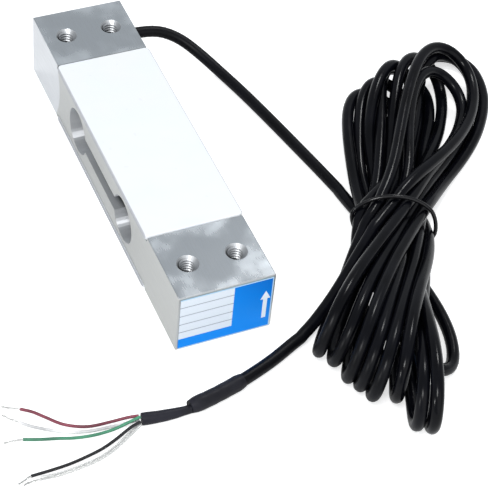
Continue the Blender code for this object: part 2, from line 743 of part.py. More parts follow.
def make_cores():
    """The cable's four cores from its cut sheath, up the slanted bore and onto the board."""
    start, end = wire_bore_axis()
    along = (end - start).normalized()
    up = Vector((-along.z, 0, along.x))
    half = CORE_SPACING / 2
    pad_x = BOARD_X0 + PAD_SIZE / 2 + PAD_FROM_END
    pad_z = BOARD_PADS + SOLDER_GAP + CORE_DIAMETER / 2
    begin_y = CABLE_END_Y - CORE_END_GAP
    places = {"red": (-half, -half), "white": (-half, half), "green": (half, half), "black": (half, -half)}
    colours = {
        "red": (0.55, 0.02, 0.03), "white": (0.8, 0.8, 0.8),
        "green": (0.02, 0.3, 0.1), "black": (0.02, 0.02, 0.02),
    }
    for name, (across, rise) in places.items():
        row = core_rows()[name]
        corner = start + Vector((across, across, rise))
        beside = Vector((0, across, 0)) + up * rise
        route = [
            Vector((corner.x, begin_y, MIDDLE + rise)),
            Vector((corner.x, corner.y + CORE_RUN_IN, MIDDLE + rise)),
            corner + Vector((CORE_BEND / 4, CORE_BEND / 4, 0)),
            start + along * (CORE_RUN_IN + across) + beside,
            (start + end) / 2 + beside,
            end - along * CORE_DIAMETER + beside,
            Vector((POCKET_X0 + CORE_DIAMETER, (across + row) / 2, end.z + rise)),
            Vector((BOARD_X0 - CORE_LANDING, row, pad_z + max(rise, 0) / 2)),
            Vector((pad_x, row, pad_z)),
        ]
        points = smooth_route(route, CORE_STEP)
        surface = material(f"core_{name}", colours[name], 0.0, 0.5)
        cord(f"inner_{name}", points, CORE_DIAMETER, surface, resolution=1)


def onto_strip(side, run_z, strip_z):
    """End of a wire that runs beside the gauges, over the strip's edge and in onto its tab."""
    far = STRIP_X - STRIP_LENGTH
    over = STRIP_X - 0.75 * STRIP_LENGTH
    within = STRIP_X - STRIP_LENGTH / 3
    tab_y = side * tab_centre_y()
    return [
        (far, side * JUMPER_SIDE, run_z),
        (over, side * JUMPER_SIDE, strip_z),
        (within, (side * STRIP_WIDTH / 2 + tab_y) / 2, strip_z),
        (STRIP_X, tab_y, strip_z),
    ]


def enamel():
    return material("wire_enamel", (0.35, 0.1, 0.03), 0.3, 0.4)


def make_wires():
    """Enamelled wires between the board, the gauges and the solder strips."""
    radius = WIRE_DIAMETER / 2
    pad_x = BOARD_X1 - PAD_SIZE / 2 - PAD_FROM_END
    pad_z = BOARD_PADS + SOLDER_GAP + radius
    tab_z = TOP_FLOOR + GAUGE_FACE + SOLDER_GAP + radius
    strip_z = TOP_FLOOR + STRIP_FACE + SOLDER_GAP + radius
    run_z = TOP_FLOOR + BOND_LINE + radius
    rows = wire_rows()
    for side, letter in ((1, "a"), (-1, "b")):
        lead = [
            (pad_x, side * rows["gauge"], pad_z),
            (BOARD_X1 + WIRE_LANDING, side * rows["gauge"], run_z),
            (-TAB_X - TAB_LENGTH, side * tab_centre_y(), tab_z),
            (-TAB_X, side * tab_centre_y(), tab_z),
        ]
        cord(f"gauge_wire_{letter}", smooth_route(lead, WIRE_STEP), WIRE_DIAMETER, enamel(), resolution=1)
        jumper = [
            (pad_x, side * rows["jumper"], pad_z),
            (BOARD_X1 + WIRE_LANDING, side * JUMPER_SIDE, run_z),
            (-GAUGE_X, side * JUMPER_SIDE, run_z),
        ]
        jumper += onto_strip(side, run_z, strip_z)
        cord(f"jumper_top_{letter}", smooth_route(jumper, JUMPER_STEP), WIRE_DIAMETER, enamel(), resolution=1)


def make_links():
    """Wires down the upright bore to the underside, and one along the underside."""
    radius = WIRE_DIAMETER / 2
    over_z = BOARD_BASE + BOARD_THICKNESS + BOND_LINE + radius
    under_z = BOTTOM_FLOOR - BOND_LINE - radius
    tab_y = tab_centre_y()
    tab_z = BOTTOM_FLOOR - GAUGE_FACE - SOLDER_GAP - radius
    strip_z = BOTTOM_FLOOR - STRIP_FACE - SOLDER_GAP - radius
    edge_y = BOARD_WIDTH / 2
    near_x = LINK_X - LINK_SPACING / 2
    ends = {
        "a": [(near_x, JUMPER_SIDE, under_z), (-TAB_X - TAB_LENGTH, tab_y, tab_z), (-TAB_X, tab_y, tab_z)],
        "b": [(LINK_X + POCKET_WIDTH / 4, JUMPER_SIDE, under_z), (-GAUGE_X, JUMPER_SIDE, under_z)],
    }
    ends["b"] += onto_strip(1, under_z, strip_z)
    for side, letter in ((-1, "a"), (1, "b")):
        x = LINK_X + side * LINK_SPACING / 2
        route = [
            (x, edge_y - LINK_TAIL, over_z),
            (x, edge_y, over_z),
            (x, LINK_Y, POCKET_FLOOR),
            (x, LINK_Y, MIDDLE),
            (x, LINK_Y, BOTTOM_FLOOR + LINK_BORE / 2),
            (x, LINK_Y - radius / 2, BOTTOM_FLOOR),
            (x, LINK_Y - LINK_TAIL, under_z),
        ]
        points = smooth_route(route + ends[letter], WIRE_STEP)
        cord(f"link_wire_{letter}", points, WIRE_DIAMETER, enamel(), resolution=1)
    jumper = [
        (-TAB_X, -tab_y, tab_z),
        (-TAB_X - TAB_LENGTH, -tab_y, tab_z),
        (-TAB_X - TAB_LENGTH, -JUMPER_SIDE, under_z),
        (-GAUGE_X, -JUMPER_SIDE, under_z),
    ]
    jumper += onto_strip(-1, under_z, strip_z)
    cord("jumper_bottom", smooth_route(jumper, JUMPER_STEP), WIRE_DIAMETER, enamel(), resolution=1)


def make_sealant():
    """Ring of sealant round the cable at the mouth of its bore."""
    inner = CABLE_DIAMETER / 2 + CABLE_CLEARANCE
    far = Vector((CABLE_X, HALF_WIDTH, MIDDLE))
    near = Vector((CABLE_X, HALF_WIDTH - SEALANT_DEPTH, MIDDLE))
    bm = swept([near, far], inner + SEALANT_WALL, BORE_SEGMENTS, inner=inner)
    solid("cable_sealant", bm, material("sealant_black", (0.02, 0.02, 0.02), 0.0, 0.6), smooth_below=40)


def make_label():
    """Label on the load end: a pale panel, a blue column beside it and a blue strip below."""
    width = BEAM_WIDTH - 2 * LABEL_MARGIN
    height = BEAM_HEIGHT - 2 * LABEL_MARGIN
    left = -width / 2 + LABEL_BORDER
    right = width / 2 - LABEL_BORDER
    low = -height / 2 + LABEL_BORDER
    high = height / 2 - LABEL_BORDER
    split = left + (right - left) * LABEL_PANEL_SHARE
    strip = low + (high - low) * LABEL_STRIP_SHARE
    fields = [(left, strip, split, high), (split, strip, right, high), (left, low, right, strip)]
    bm = stepped_plate((width, height), LABEL_THICKNESS, fields, 0.0)
    blue_fields = fields[1:]
    for face in bm.faces:
        middle = face.calc_center_median()
        on_top = middle.z > LABEL_THICKNESS - 1e-7
        blue = any(f[0] < middle.x < f[2] and f[1] < middle.y < f[3] for f in blue_fields)
        face.material_index = 1 if on_top and blue else 0
    x = HALF_LENGTH + LABEL_BED
    turn = (math.pi / 2, 0, math.pi / 2)
    label = solid("name_label", bm, material("label_white", (0.8, 0.88, 0.92), 0.0, 0.4), (x, 0, MIDDLE), turn)
    label.data.materials.append(material("label_blue", (0.02, 0.26, 0.75), 0.0, 0.4))


def hank_section(station, grow=0.0):
    """Ring of (across, height) points round the hank's outer shape at one station, in metres."""
    _, low_side, high_side, height = station
    centre = (low_side + high_side) / 2
    half = (high_side - low_side) / 2 + grow
    half_height = (height - HANK_FLOOR) / 2 + grow
    middle = (height + HANK_FLOOR) / 2
    points = []
    for k in range(HANK_SECTION_SIDES):
        angle = 2 * math.pi * k / HANK_SECTION_SIDES
        c = math.cos(angle)
        s = math.sin(angle)
        across = centre + half * math.copysign(abs(c) ** HANK_SECTION_POWER, c)
        up = middle + half_height * math.copysign(abs(s) ** HANK_SECTION_POWER, s)
        points.append((across * MM, up * MM))
    return points


def make_hank():
    """Outer shape of the tied hank, lofted along its length, with a notch for the tie beneath."""
    bm = bmesh.new()
    rings = []
    for station in HANK_STATIONS:
        rings.append([bm.verts.new((station[0] * MM, y, z)) for y, z in hank_section(station)])
    bm.faces.new(rings[0])
    bm.faces.new(rings[-1])
    for one, two in zip(rings, rings[1:]):
        for k in range(HANK_SECTION_SIDES):
            after = (k + 1) % HANK_SECTION_SIDES
            bm.faces.new((one[k], one[after], two[after], two[k]))
    place = (HANK_WAIST[0] * MM, HANK_WAIST[1] * MM, 0)
    turn = (0, 0, math.radians(HANK_ANGLE))
    hank = solid("cable_hank", bm, black_sheath(), place, turn, smooth_below=50)
    half = TIE_DIAMETER / 2 + TIE_NOTCH_SIDE
    top = TIE_DIAMETER + 2 * TIE_CLEARANCE
    reach = CUT_PAST + MM * max(abs(side) for station in HANK_STATIONS for side in station[1:3])
    low = (-half, -reach, -CUT_PAST)
    high = (half, reach, top)
    notch = cut(hank, "cut_tie_notch", box(low, high))
    notch.location = place
    notch.rotation_euler = turn
    make_tie(place, turn)


def make_tie(place, turn):
    """Thin tie round the hank's waist."""
    waist = next(s for s in HANK_STATIONS if s[0] == 0.0)
    grow = (TIE_DIAMETER / 2 + TIE_CLEARANCE) / MM
    lowest = TIE_DIAMETER / 2 + HANK_FLOOR * MM
    points = [Vector((0, y, max(z, lowest))) for y, z in hank_section(waist, grow)]
    bm = swept(points, TIE_DIAMETER / 2, TIE_SIDES, closed=True)
    solid("cable_tie", bm, material("tie_black", (0.015, 0.015, 0.015), 0.0, 0.3), place, turn, smooth_below=60)


def last_stretch(points, length):
    """The end of a path, cut to a length measured back from its last point."""
    out = [points[-1]]
    left = length
    for ahead, behind in zip(reversed(points), reversed(points[:-1])):
        step = (ahead - behind).length
        if step >= left:
            out.append(ahead.lerp(behind, left / step))
            break
        out.append(behind)
        left -= step
    return list(reversed(out))


def make_cable():
    """The free stretches of the cable before and after the hank."""
    inside = [(CABLE_X, CABLE_END_Y, MIDDLE), (CABLE_X, (CABLE_END_Y + HALF_WIDTH) / 2, MIDDLE)]
    mouth = Vector((CABLE_X, HALF_WIDTH, MIDDLE))
    lead = [Vector(p) for p in inside] + [mouth] + [mouth + p for p in metres(EXIT_ROUTE)] + metres(LEAD_ROUTE)
    cord("cable_lead", smooth_route(lead, CORD_STEP * CABLE_DIAMETER), CABLE_DIAMETER, black_sheath())
    tail = smooth_route(metres(TAIL_ROUTE), CORD_STEP * CABLE_DIAMETER)
    cord("cable_tail", tail, CABLE_DIAMETER, black_sheath())
    shrink = material("heat_shrink", (0.015, 0.015, 0.02), 0.0, 0.45)
    bore = CABLE_DIAMETER / 2 + SLEEVE_CLEARANCE
    rear = swept(last_stretch(tail, SLEEVE_REAR_LENGTH), bore + SLEEVE_WALL, SLEEVE_SIDES, inner=bore)
    solid("heat_shrink_rear", rear, shrink, smooth_below=40)
    front = smooth_route(metres(SLEEVE_FRONT_ROUTE), SLEEVE_STEP)
    solid("heat_shrink_front", swept(front, SLEEVE_FRONT_DIAMETER / 2, SLEEVE_SIDES), shrink, smooth_below=40)


def make_conductors():
    """Five conductors fanning out of the front sleeve, each with its bare tinned tip."""
    colours = {
        "red": (0.45, 0.05, 0.1), "white": (0.85, 0.85, 0.85), "green": (0.05, 0.4, 0.2),
        "black": (0.015, 0.015, 0.015), "drain": (0.75, 0.75, 0.73),
    }
    tinned = material("tinned_strands", (0.7, 0.7, 0.7), 1.0, 0.35)
    for name, route in CONDUCTORS.items():
        diameter = DRAIN_DIAMETER if name == "drain" else CONDUCTOR_DIAMETER
        surface = material(f"insulation_{name}", colours[name], 0.0, 0.4)
        label = "shield_drain" if name == "drain" else f"conductor_{name}"
        path = metres(route)
        cord(label, smooth_route(path, CONDUCTOR_STEP * diameter), diameter, surface)
        tip = metres(TIPS[name])
        begin = path[-1] + (tip[0] - path[-1]).normalized() * TIP_GAP
        cord(f"tip_{name}", smooth_route([begin] + tip, TIP_STEP), TIP_DIAMETER, tinned, resolution=1)


def build():
    clear_scene()
    make_beam()
    coat("potting_top", TOP_FLOOR + COAT_FLOOR_GAP, TOP + COAT_PROUD, outer_is_top=True)
    coat("potting_bottom", COAT_INSET, BOTTOM_FLOOR - COAT_FLOOR_GAP, outer_is_top=False)
    make_gauges()
    make_strips()
    make_board()
    make_resistors()
    make_cores()
    make_wires()
    make_links()
    make_sealant()
    make_label()
    make_hank()
    make_cable()
    make_conductors()


build()
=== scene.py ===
"""Looks of a single point load cell with its tied hank of cable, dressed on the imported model."""

import math

import bmesh
import bpy
import numpy as np
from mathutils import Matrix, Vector


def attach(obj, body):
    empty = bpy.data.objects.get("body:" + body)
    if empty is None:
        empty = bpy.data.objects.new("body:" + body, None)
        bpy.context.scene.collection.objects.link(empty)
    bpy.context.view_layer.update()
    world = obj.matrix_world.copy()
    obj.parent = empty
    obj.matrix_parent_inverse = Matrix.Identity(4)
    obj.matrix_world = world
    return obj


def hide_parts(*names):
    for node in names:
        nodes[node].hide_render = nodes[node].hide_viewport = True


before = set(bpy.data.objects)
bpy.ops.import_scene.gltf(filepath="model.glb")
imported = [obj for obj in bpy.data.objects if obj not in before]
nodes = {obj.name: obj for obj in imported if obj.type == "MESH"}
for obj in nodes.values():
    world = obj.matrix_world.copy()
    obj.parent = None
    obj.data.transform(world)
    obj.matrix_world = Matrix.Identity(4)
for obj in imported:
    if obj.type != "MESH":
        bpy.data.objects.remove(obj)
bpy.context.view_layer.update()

MM = 0.001

# Beam sizes that the looks lean on, in metres
HALF_LENGTH = 0.065
HEIGHT = 0.022
TAPPED_X = 0.053
TAPPED_Y = 0.0075

# The cable's size, and its route from the bore to the hank and from the hank to the sleeves, as in part.py
CABLE = 0.0038
LEAD = [
    (-0.0600, 0.0050, 0.0110), (-0.0600, 0.0100, 0.0110), (-0.0600, 0.0150, 0.0110),
    (-0.0599, 0.0200, 0.0109), (-0.0595, 0.0250, 0.0105), (-0.0584, 0.0294, 0.0094),
    (-0.0554, 0.0340, 0.0075), (-0.0496, 0.0384, 0.0050), (-0.0406, 0.0426, 0.0029),
    (-0.0297, 0.0461, 0.0021), (-0.0153, 0.0495, 0.00195), (0.0008, 0.0529, 0.00195),
    (0.0140, 0.0556, 0.00195), (0.0289, 0.05835, 0.00195),
]
TAIL = [
    (0.0725, 0.0256, 0.0042), (0.0739, 0.0218, 0.0031), (0.0756, 0.0172, 0.0024),
    (0.0792, 0.0093, 0.00215), (0.0829, 0.0000, 0.00255), (0.0850, -0.0072, 0.00255),
    (0.0865, -0.0136, 0.00255), (0.0875, -0.0194, 0.00255),
]

# The hank's own frame: its waist, and its far end's direction in degrees from +X.
# In it a place is along, across and up, in millimetres.
WAIST = (44.0, 64.0)
HANK_TURN = math.radians(150.46)

# Far loops in the order of winding, each from its left leg over the top to its right leg
FAR_LOOPS = [
    [(14, -11, 5), (22.5, -13.4, 8), (43, -15.6, 10.5), (54, -14, 9.5), (63, -7.6, 6.5),
     (59.5, -3.2, 3.3), (49, -2.6, 2), (32, -3, 2.2)],
    [(14, -8.4, 6), (26.5, -10.4, 8.5), (40, -12.2, 11), (53, -11.4, 11.5), (67, -4, 8.5),
     (65.5, 0.6, 4.5), (55, 1.2, 2), (40, 1, 2), (26, 0.8, 2.4)],
    [(13, -5.4, 7.5), (25, -7.4, 10), (37, -8.6, 12), (56, -7.6, 12.5), (71.5, 0.2, 10),
     (70, 4.2, 5.4), (58.5, 4.4, 2.3), (43, 4.2, 2), (26, 3.4, 2.6)],
    [(13, -3.5, 6.5), (25, -5.4, 9), (40, -6, 10), (60, -6.5, 10.5), (74.5, -1.2, 8.5),
     (74, 4.4, 4.6), (60, 7, 2), (44, 7.6, 2), (28, 6, 2.4)],
    [(13, -1.8, 8.5), (25, -3.4, 11), (42, -3.6, 12.5), (60, -1.6, 13.5), (77, 5, 11),
     (75.5, 10, 6.8), (60, 11.6, 3), (48, 11.6, 2.2), (30, 9, 3)],
    [(12, 0, 8), (27.5, 2.7, 8.5), (52, 4.5, 8.5), (74, 6.6, 7.2), (90, 12.4, 5.5),
     (87, 18.8, 4), (72, 23.8, 2.6), (58, 25, 2), (46.5, 24, 2), (38, 20.5, 2.6), (26, 14.5, 4)],
    [(12, -0.5, 11), (24, 1.2, 12), (48, 2.8, 12.6), (69, 6, 11.5), (81, 13.6, 9.5),
     (82, 19.4, 8), (74, 22.4, 6.6), (65.5, 23, 6), (50.5, 21.6, 6), (37.2, 17.6, 6.6), (24, 12, 8)],
    [(12, -0.8, 12.5), (26, 1.2, 13.6), (44.5, 2.7, 14.6), (61, 6.1, 14), (72, 10.6, 12.5),
     (67, 16.6, 11), (58.5, 19.4, 10), (47.5, 19.4, 9.8), (37.5, 16.4, 10), (28, 12, 10.4), (16, 7, 11.6)],
    [(5.5, -1.6, 13), (22.5, -1.3, 15.5), (37.5, -0.2, 17), (48, 1.5, 17.4), (62, 4.4, 17.2),
     (75, 8.6, 16.6), (81.5, 13.6, 15.4), (79, 18, 14.4), (71, 20.6, 13.4), (60, 21.8, 12.8),
     (46.5, 20.6, 12.8), (31, 15.6, 13), (17, 8.5, 13.6)],
]
# Near loops, also in order: how far along the tip is, then how far across its upper leg, tip and lower leg are
NEAR_LOOPS = [
    (-80.5, 15.8, 16.0, 15.0), (-79.8, 11.9, 12.1, 11.4), (-71.5, 6.4, 5.0, 6.6), (-71.5, 1.6, -1.8, 0.2),
    (-68.5, -2.2, -5.2, -4.6), (-66.0, -5.9, -8.8, -5.6), (-60.5, -9.9, -12.0, -12.6),
    (-58.0, -15.7, -16.2, -17.4),
]
# Where each pass goes through the tie, across and up
PASSES = [
    (-8.3, 7.0), (3.9, 3.4), (-3.7, 3.4), (7.7, 3.5), (0.1, 3.4), (10.8, 5.4), (-4.6, 7.2), (9.4, 9.0),
    (-2.6, 7.2), (5.6, 8.0), (-7.6, 10.4), (7.4, 12.0), (-2.9, 10.8), (2.6, 10.6), (-0.6, 11.0), (4.0, 15.5),
    (-3.6, 14.0), (0.5, 13.5),
]
# First loop, which lies apart at the near right, and the run into it below the others
FIRST_RUN = [
    (4, -7.6, 2.4), (0, -4.4, 3.2), (-6, 1, 2.4), (-17, 10.2, 1.95), (-25, 14.4, 1.95), (-32, 16.6, 1.95),
]
FIRST_LOOP = [
    (-40, 17.4, 2), (-47, 17.2, 2.2), (-54, 16.4, 4.2), (-57.5, 15.4, 8.5), (-54, 14.4, 12.8),
    (-46, 13.2, 13.6), (-30, 8, 11.5), (-14, 0.6, 9),
]
LAST_RUN = [(-10, -5.5, 12.5), (-24, -11.5, 9.5), (-35, -15.5, 7)]
LEG_HIGH = 16.2
LEG_LOW = 1.95
FOLD_REACH = 7.0

# How firmly each stretch of the hank keeps the place given above
HOLD_FULL = 1.0
HOLD_RUN = 0.6
HOLD_LOW_RUN = 0.4
HOLD_LEG = 0.25
HOLD_TIE = 0.2

# Settling of the hank, in millimetres
CABLE_MM = 3.8
STEP_MM = 2.0
SETTLE_STEPS = 240
BEND_MM = 7.0
PILE_MM = 20.6
OFF_FLOOR = CABLE_MM / 2 + 0.05
FALL_MM = 0.02
KEEP_ACROSS = 0.08
KEEP_UP = 0.04
EASE_FROM = 0.6
EASE_RATE = 2.6
EASE_LEAST = 0.25
EASE_UP_RATE = 2.2
NEIGHBOURS_MM = 2.2 * CABLE_MM
STIFFNESS = ((1, 0.1), (1, 0.1), (2, 0.1), (5, 0.03))
BEND_GAPS = (3, 6, 10)
BEND_RATE = 0.35
STRETCH_RATE = 0.3
PRESS_RATE = 0.28
PRESS_ROOM = 1.01

# What the tie does while the hank settles, in millimetres: it draws the turns near it into a rounded oblong
TIE_ACROSS = 0.7
TIE_UP = 8.2
TIE_HALF_WIDTH = 11.0
TIE_HALF_HEIGHT = 6.5
TIE_REACH = 3.5
TIE_SQUARE = 2.6
TIE_DRAW = 0.35
TIE_ROOM = 1.4
TIE_ROOM_ALONG = 7
TIE_ROOM_ACROSS = 14

# The tie itself, in millimetres: its slant seen from above, its lean and how evenly it runs round the turns
TIE_THICK = 1.3
TIE_SLANT = math.radians(11)
TIE_LEAN = 0.2
TIE_EVEN = 14
TIE_SLACK = 0.7
TIE_MIDDLE = (-1.3, 1)
TIE_SLICE = 1.5
TIE_POINTS = 72

# Conductors: diameter, route from the front sleeve, and the bare end, as in part.py but a little thinner
CONDUCTOR = 0.0009
DRAIN = 0.0013
CONDUCTORS = {
    "red": [
        (0.0854, -0.0338, 0.0022), (0.0846, -0.0370, 0.0017), (0.0839, -0.0415, 0.0009),
        (0.0831, -0.0480, 0.0006), (0.0803, -0.0538, 0.0006), (0.0761, -0.0579, 0.0006),
        (0.0733, -0.0605, 0.0006), (0.0711, -0.0635, 0.0006),
    ],
    "white": [
        (0.0858, -0.0338, 0.0009), (0.0856, -0.0375, 0.0007), (0.0853, -0.0425, 0.0006),
        (0.0847, -0.0487, 0.0006), (0.0826, -0.0549, 0.0006), (0.0784, -0.0618, 0.0006),
        (0.0754, -0.0652, 0.0006),
    ],
    "green": [
        (0.0865, -0.0338, 0.0030), (0.0868, -0.0372, 0.0024), (0.0870, -0.0420, 0.0013),
        (0.0866, -0.0473, 0.0007), (0.0857, -0.0525, 0.0006), (0.0843, -0.0570, 0.0006),
        (0.0830, -0.0617, 0.0006), (0.0815, -0.0660, 0.0006),
    ],
    "black": [
        (0.0876, -0.0341, 0.0022), (0.0883, -0.0372, 0.0019), (0.0901, -0.0422, 0.0009),
        (0.0917, -0.0468, 0.0006), (0.0928, -0.0516, 0.0006), (0.0936, -0.0566, 0.0006),
        (0.0939, -0.0615, 0.0006), (0.0940, -0.0678, 0.0006),
    ],
    "drain": [
        (0.0873, -0.0341, 0.0008), (0.0894, -0.0376, 0.00075), (0.0929, -0.0438, 0.0007),
        (0.0948, -0.0492, 0.0007), (0.0957, -0.0555, 0.0007), (0.0960, -0.0608, 0.0007),
        (0.0956, -0.0654, 0.0007),
    ],
}
TIPS = {
    "red": [(0.0698, -0.0658, 0.0004), (0.0684, -0.0681, 0.0004)],
    "white": [(0.0734, -0.0670, 0.0004), (0.0713, -0.0688, 0.0004)],
    "green": [(0.0810, -0.0686, 0.0004), (0.0808, -0.0712, 0.0004)],
    "black": [(0.0947, -0.0699, 0.0004), (0.0953, -0.0718, 0.0004)],
    "drain": [(0.0957, -0.0682, 0.0004), (0.0961, -0.0705, 0.0004)],
}

# Strands of a bare end, and the heat shrink sleeves with how their radius changes along them
STRAND = 0.00018
STRANDS_ROUND = 6
STRAND_TURN = 0.0035
STRAND_SPREAD = 0.5
TINNED = (0.72, 0.72, 0.71)
SLEEVE_REAR = 0.0196
SLEEVE_REAR_RADII = (
    0.0021, 0.00238, 0.00234, 0.0023, 0.00236, 0.00228, 0.00236, 0.00232, 0.0024, 0.0023, 0.0019,
)
SLEEVE_FRONT = [
    (0.08770, -0.0185, 0.0021), (0.08775, -0.0199, 0.0019), (0.0877, -0.0242, 0.0019),
    (0.0873, -0.0288, 0.0019), (0.0866, -0.0334, 0.0019),
]
SLEEVE_FRONT_RADII = (0.0013, 0.0013, 0.00135, 0.0015, 0.00158, 0.00168, 0.0017, 0.00178, 0.00184, 0.0018)

# Tapped holes
THREAD_PITCH = 0.001
THREAD_ROOT = 0.00258
THREAD_MOUTH = 0.00335
THREAD_DEPTH = 0.00045
THREAD_FROM = 0.0005
THREAD_SIDES = 24
THREAD_HALF = 0.46
THREAD_CREST = 0.14
PAD_MIDDLE = 0.0525
APERTURE_REACH = 0.0295
APERTURE_LOW = 0.0025
# Painted reflection on the sides of the fixed end: its edge, softness, bow, middle and half height
REFLECTION_TO = -0.0374
REFLECTION_SOFT = 0.0008
REFLECTION_BOW = 0.0032
REFLECTION_MIDDLE = 0.012
REFLECTION_HALF = 0.011
RING_FROM = 0.0145
RING_TO = 0.0215
DEEP_REACH = 0.02
RIDGE_REACH = 0.0009
COAT_RIM = 0.0152
GRID_PITCH = 0.0006

# Roughness where it isn't given with the material
BORE_ROUGHNESS = 0.55
THREAD_ROUGHNESS = 0.42
WIPED_ROUGHNESS = 0.37
HANDLED_ROUGHNESS = 0.42

# Colours
ALUMINIUM = (0.60, 0.615, 0.635)
SIDE_TONE = (0.615, 0.625, 0.61)
# Top faces, bluer and a little brighter than the sides: a painted sky reflection
PAD_TONE = (0.60, 0.64, 0.675)
SHEATH_BLACK = (0.0018, 0.002, 0.0034)
SHRINK_BLACK = (0.009, 0.009, 0.014)
TIE_BLACK = (0.004, 0.004, 0.005)
INSULATION = {
    "red": (0.18, 0.032, 0.055), "white": (0.6, 0.6, 0.61), "green": (0.045, 0.21, 0.12),
    "black": (0.006, 0.006, 0.008),
}
SEALANT_BLACK = (0.02, 0.02, 0.022)
COPPER = (0.62, 0.30, 0.16)
BOARD_GREEN = (0.02, 0.16, 0.07)
RESISTOR_BLACK = (0.02, 0.02, 0.022)
ENAMEL = (0.45, 0.13, 0.04)
FILM_DARK = (0.42, 0.2, 0.04)
FILM_LIGHT = (0.55, 0.28, 0.07)
FOIL = (0.5, 0.47, 0.42)
COAT_WHITE = (0.84, 0.86, 0.88)
COAT_TINT = (0.80, 0.84, 0.90)
# Grey of the coat's long edges: painted shade on the rounded edge
COAT_EDGE_SHADE = (0.46, 0.47, 0.50)
CLEAR = (0.93, 0.94, 0.93)
LABEL_WHITE = (0.80, 0.87, 0.95)
LABEL_LINE = (0.22, 0.25, 0.32)
LABEL_BLUE = (0.0, 0.28, 0.95)
LABEL_DEEP = (0.0, 0.15, 0.62)
LABEL_RIM = (0.50, 0.72, 0.90)

# Label: its place in metres, then its print in shares of its width from the left and height from below
LABEL_HALF = 0.0143
LABEL_LOW = 0.0007
LABEL_HIGH = 0.0213
LABEL_EDGE = 0.012
LABEL_PANEL = 0.575
LABEL_STRIP = 0.20
LABEL_RULES = (0.34, 0.50, 0.67, 0.84)
LABEL_RULE = 0.016
ARROW_MIDDLE = 0.925
ARROW_FOOT = 0.20
ARROW_NECK = 0.59
ARROW_TIP = 0.755
ARROW_HEAD = 0.055
ARROW_SHAFT = 0.023

# Camera, at the photograph's angle
CAMERA_PLACE = (0.37711, -0.15616, 0.39981)
CAMERA_TURN = (43.9723, -4.2032, 67.2443)
CAMERA_LENS = 134.54

# Stage: the floor, then each lamp's place, size in metres and power in watts, and the sky
FLOOR_REACH = 6.0
FLOOR_TONE = (0.8, 0.8, 0.8, 1)
FLOOR_GLOW = 0.6
FLOOR_MIRRORED = 0.1
LAMPS = [
    ("key", (0.55, -0.42, 1.0), 0.35, 6), ("back", (-0.41, 0.59, 1.02), 0.25, 4),
    ("front", (0.95, 0.15, 0.5), 1.2, 2.6), ("side", (0.32, -0.95, 0.37), 0.16, 2.5),
]
LAMP_AIM = (0.02, 0.02, 0)
SKY_TONE = (0.92, 0.96, 1.0, 1)
SKY_STRENGTH = 0.52


def spline(points, step, weights=None):
    """Even steps along a smooth curve through the points, with the weights carried along."""
    points = np.array(points, float)
    weights = np.ones(len(points)) if weights is None else np.array(weights, float)
    ends = np.vstack([2 * points[0] - points[1], points, 2 * points[-1] - points[-2]])
    fine = []
    carried = []
    for n, (a, b, c, d) in enumerate(zip(ends, ends[1:], ends[2:], ends[3:])):
        for k in range(16):
            t = k / 16
            fine.append(
                0.5 * (2 * b + (c - a) * t + (2 * a - 5 * b + 4 * c - d) * t ** 2
                       + (3 * b - a - 3 * c + d) * t ** 3)
            )
            carried.append(weights[n] + (weights[n + 1] - weights[n]) * t)
    fine = np.array(fine + [points[-1]])
    carried = np.array(carried + [weights[-1]])
    reach = np.r_[0, np.cumsum(np.linalg.norm(np.diff(fine, axis=0), axis=1))]
    count = max(2, int(round(reach[-1] / step)))
    wanted = np.linspace(0, reach[-1], count + 1)
    even = np.stack([np.interp(wanted, reach, fine[:, k]) for k in range(3)], 1)
    return even, np.interp(wanted, reach, carried)


def to_hank(place):
    """A place in metres, in the hank's own frame in millimetres."""
    x = place[0] / MM - WAIST[0]
    y = place[1] / MM - WAIST[1]
    turn = HANK_TURN
    return (x * math.cos(turn) + y * math.sin(turn), x * math.sin(turn) - y * math.cos(turn), place[2] / MM)


def from_hank(points):
    """Points of the hank's own frame, in metres in the row frame."""
    turn = HANK_TURN
    x = WAIST[0] + points[:, 0] * math.cos(turn) + points[:, 1] * math.sin(turn)
    y = WAIST[1] + points[:, 0] * math.sin(turn) - points[:, 1] * math.cos(turn)
    return np.stack([x, y, points[:, 2]], 1) * MM


def hank_route():
    """The cable's points from the lead to the tail, each with how firmly it keeps its place."""
    route = []

    def add(points, hold):
        for p in points:
            route.append((p, hold))

    def across(along, waist, tip, reach):
        return waist + (tip - waist) * min(1, abs(along / reach))

    add([to_hank(p) for p in LEAD], HOLD_FULL)
    add(FIRST_RUN, HOLD_LOW_RUN)
    add(FIRST_LOOP, HOLD_RUN)
    for turn, loop in enumerate(FAR_LOOPS):
        up = PASSES[2 * turn]
        down = PASSES[2 * turn + 1]
        add([(0, *up)], HOLD_TIE)
        add(loop, HOLD_FULL)
        add([(0, *down)], HOLD_TIE)
        if turn < len(NEAR_LOOPS):
            tip, upper, front, lower = NEAR_LOOPS[turn]
            bend = tip + FOLD_REACH
            onward = PASSES[2 * turn + 2]
            # Upper leg from the tie toward the fold
            add([
                (-12, across(12, down[0], upper, bend), down[1] + (14 - down[1]) * 0.35),
                (-26, across(26, down[0], upper, bend), down[1] + (15.5 - down[1]) * 0.75),
            ], HOLD_LEG)
            # Over the fold and down to the floor
            add([
                (-40, across(40, down[0], upper, bend), LEG_HIGH),
                (bend + 1.5, upper, LEG_HIGH),
                (bend - 4.5, upper + (front - upper) * 0.25, LEG_HIGH - 1.6),
                (tip, upper + (front - upper) * 0.7, 9.5),
                (bend - 4.8, front, 4.2),
                (bend, (front + lower) / 2, LEG_LOW),
                (bend + 9, lower, LEG_LOW),
            ], HOLD_FULL)
            # Lower leg back to the tie
            add([
                (-36, across(36, onward[0], lower, bend), LEG_LOW),
                (-22, across(22, onward[0], lower, bend), 2.6),
                (-11, across(11, onward[0], lower, bend), LEG_LOW + (onward[1] - LEG_LOW) * 0.4),
            ], HOLD_LEG)
    add(LAST_RUN, HOLD_RUN)
    add([to_hank(p) for p in TAIL], HOLD_FULL)
    return spline([p for p, _ in route], STEP_MM, [hold for _, hold in route])


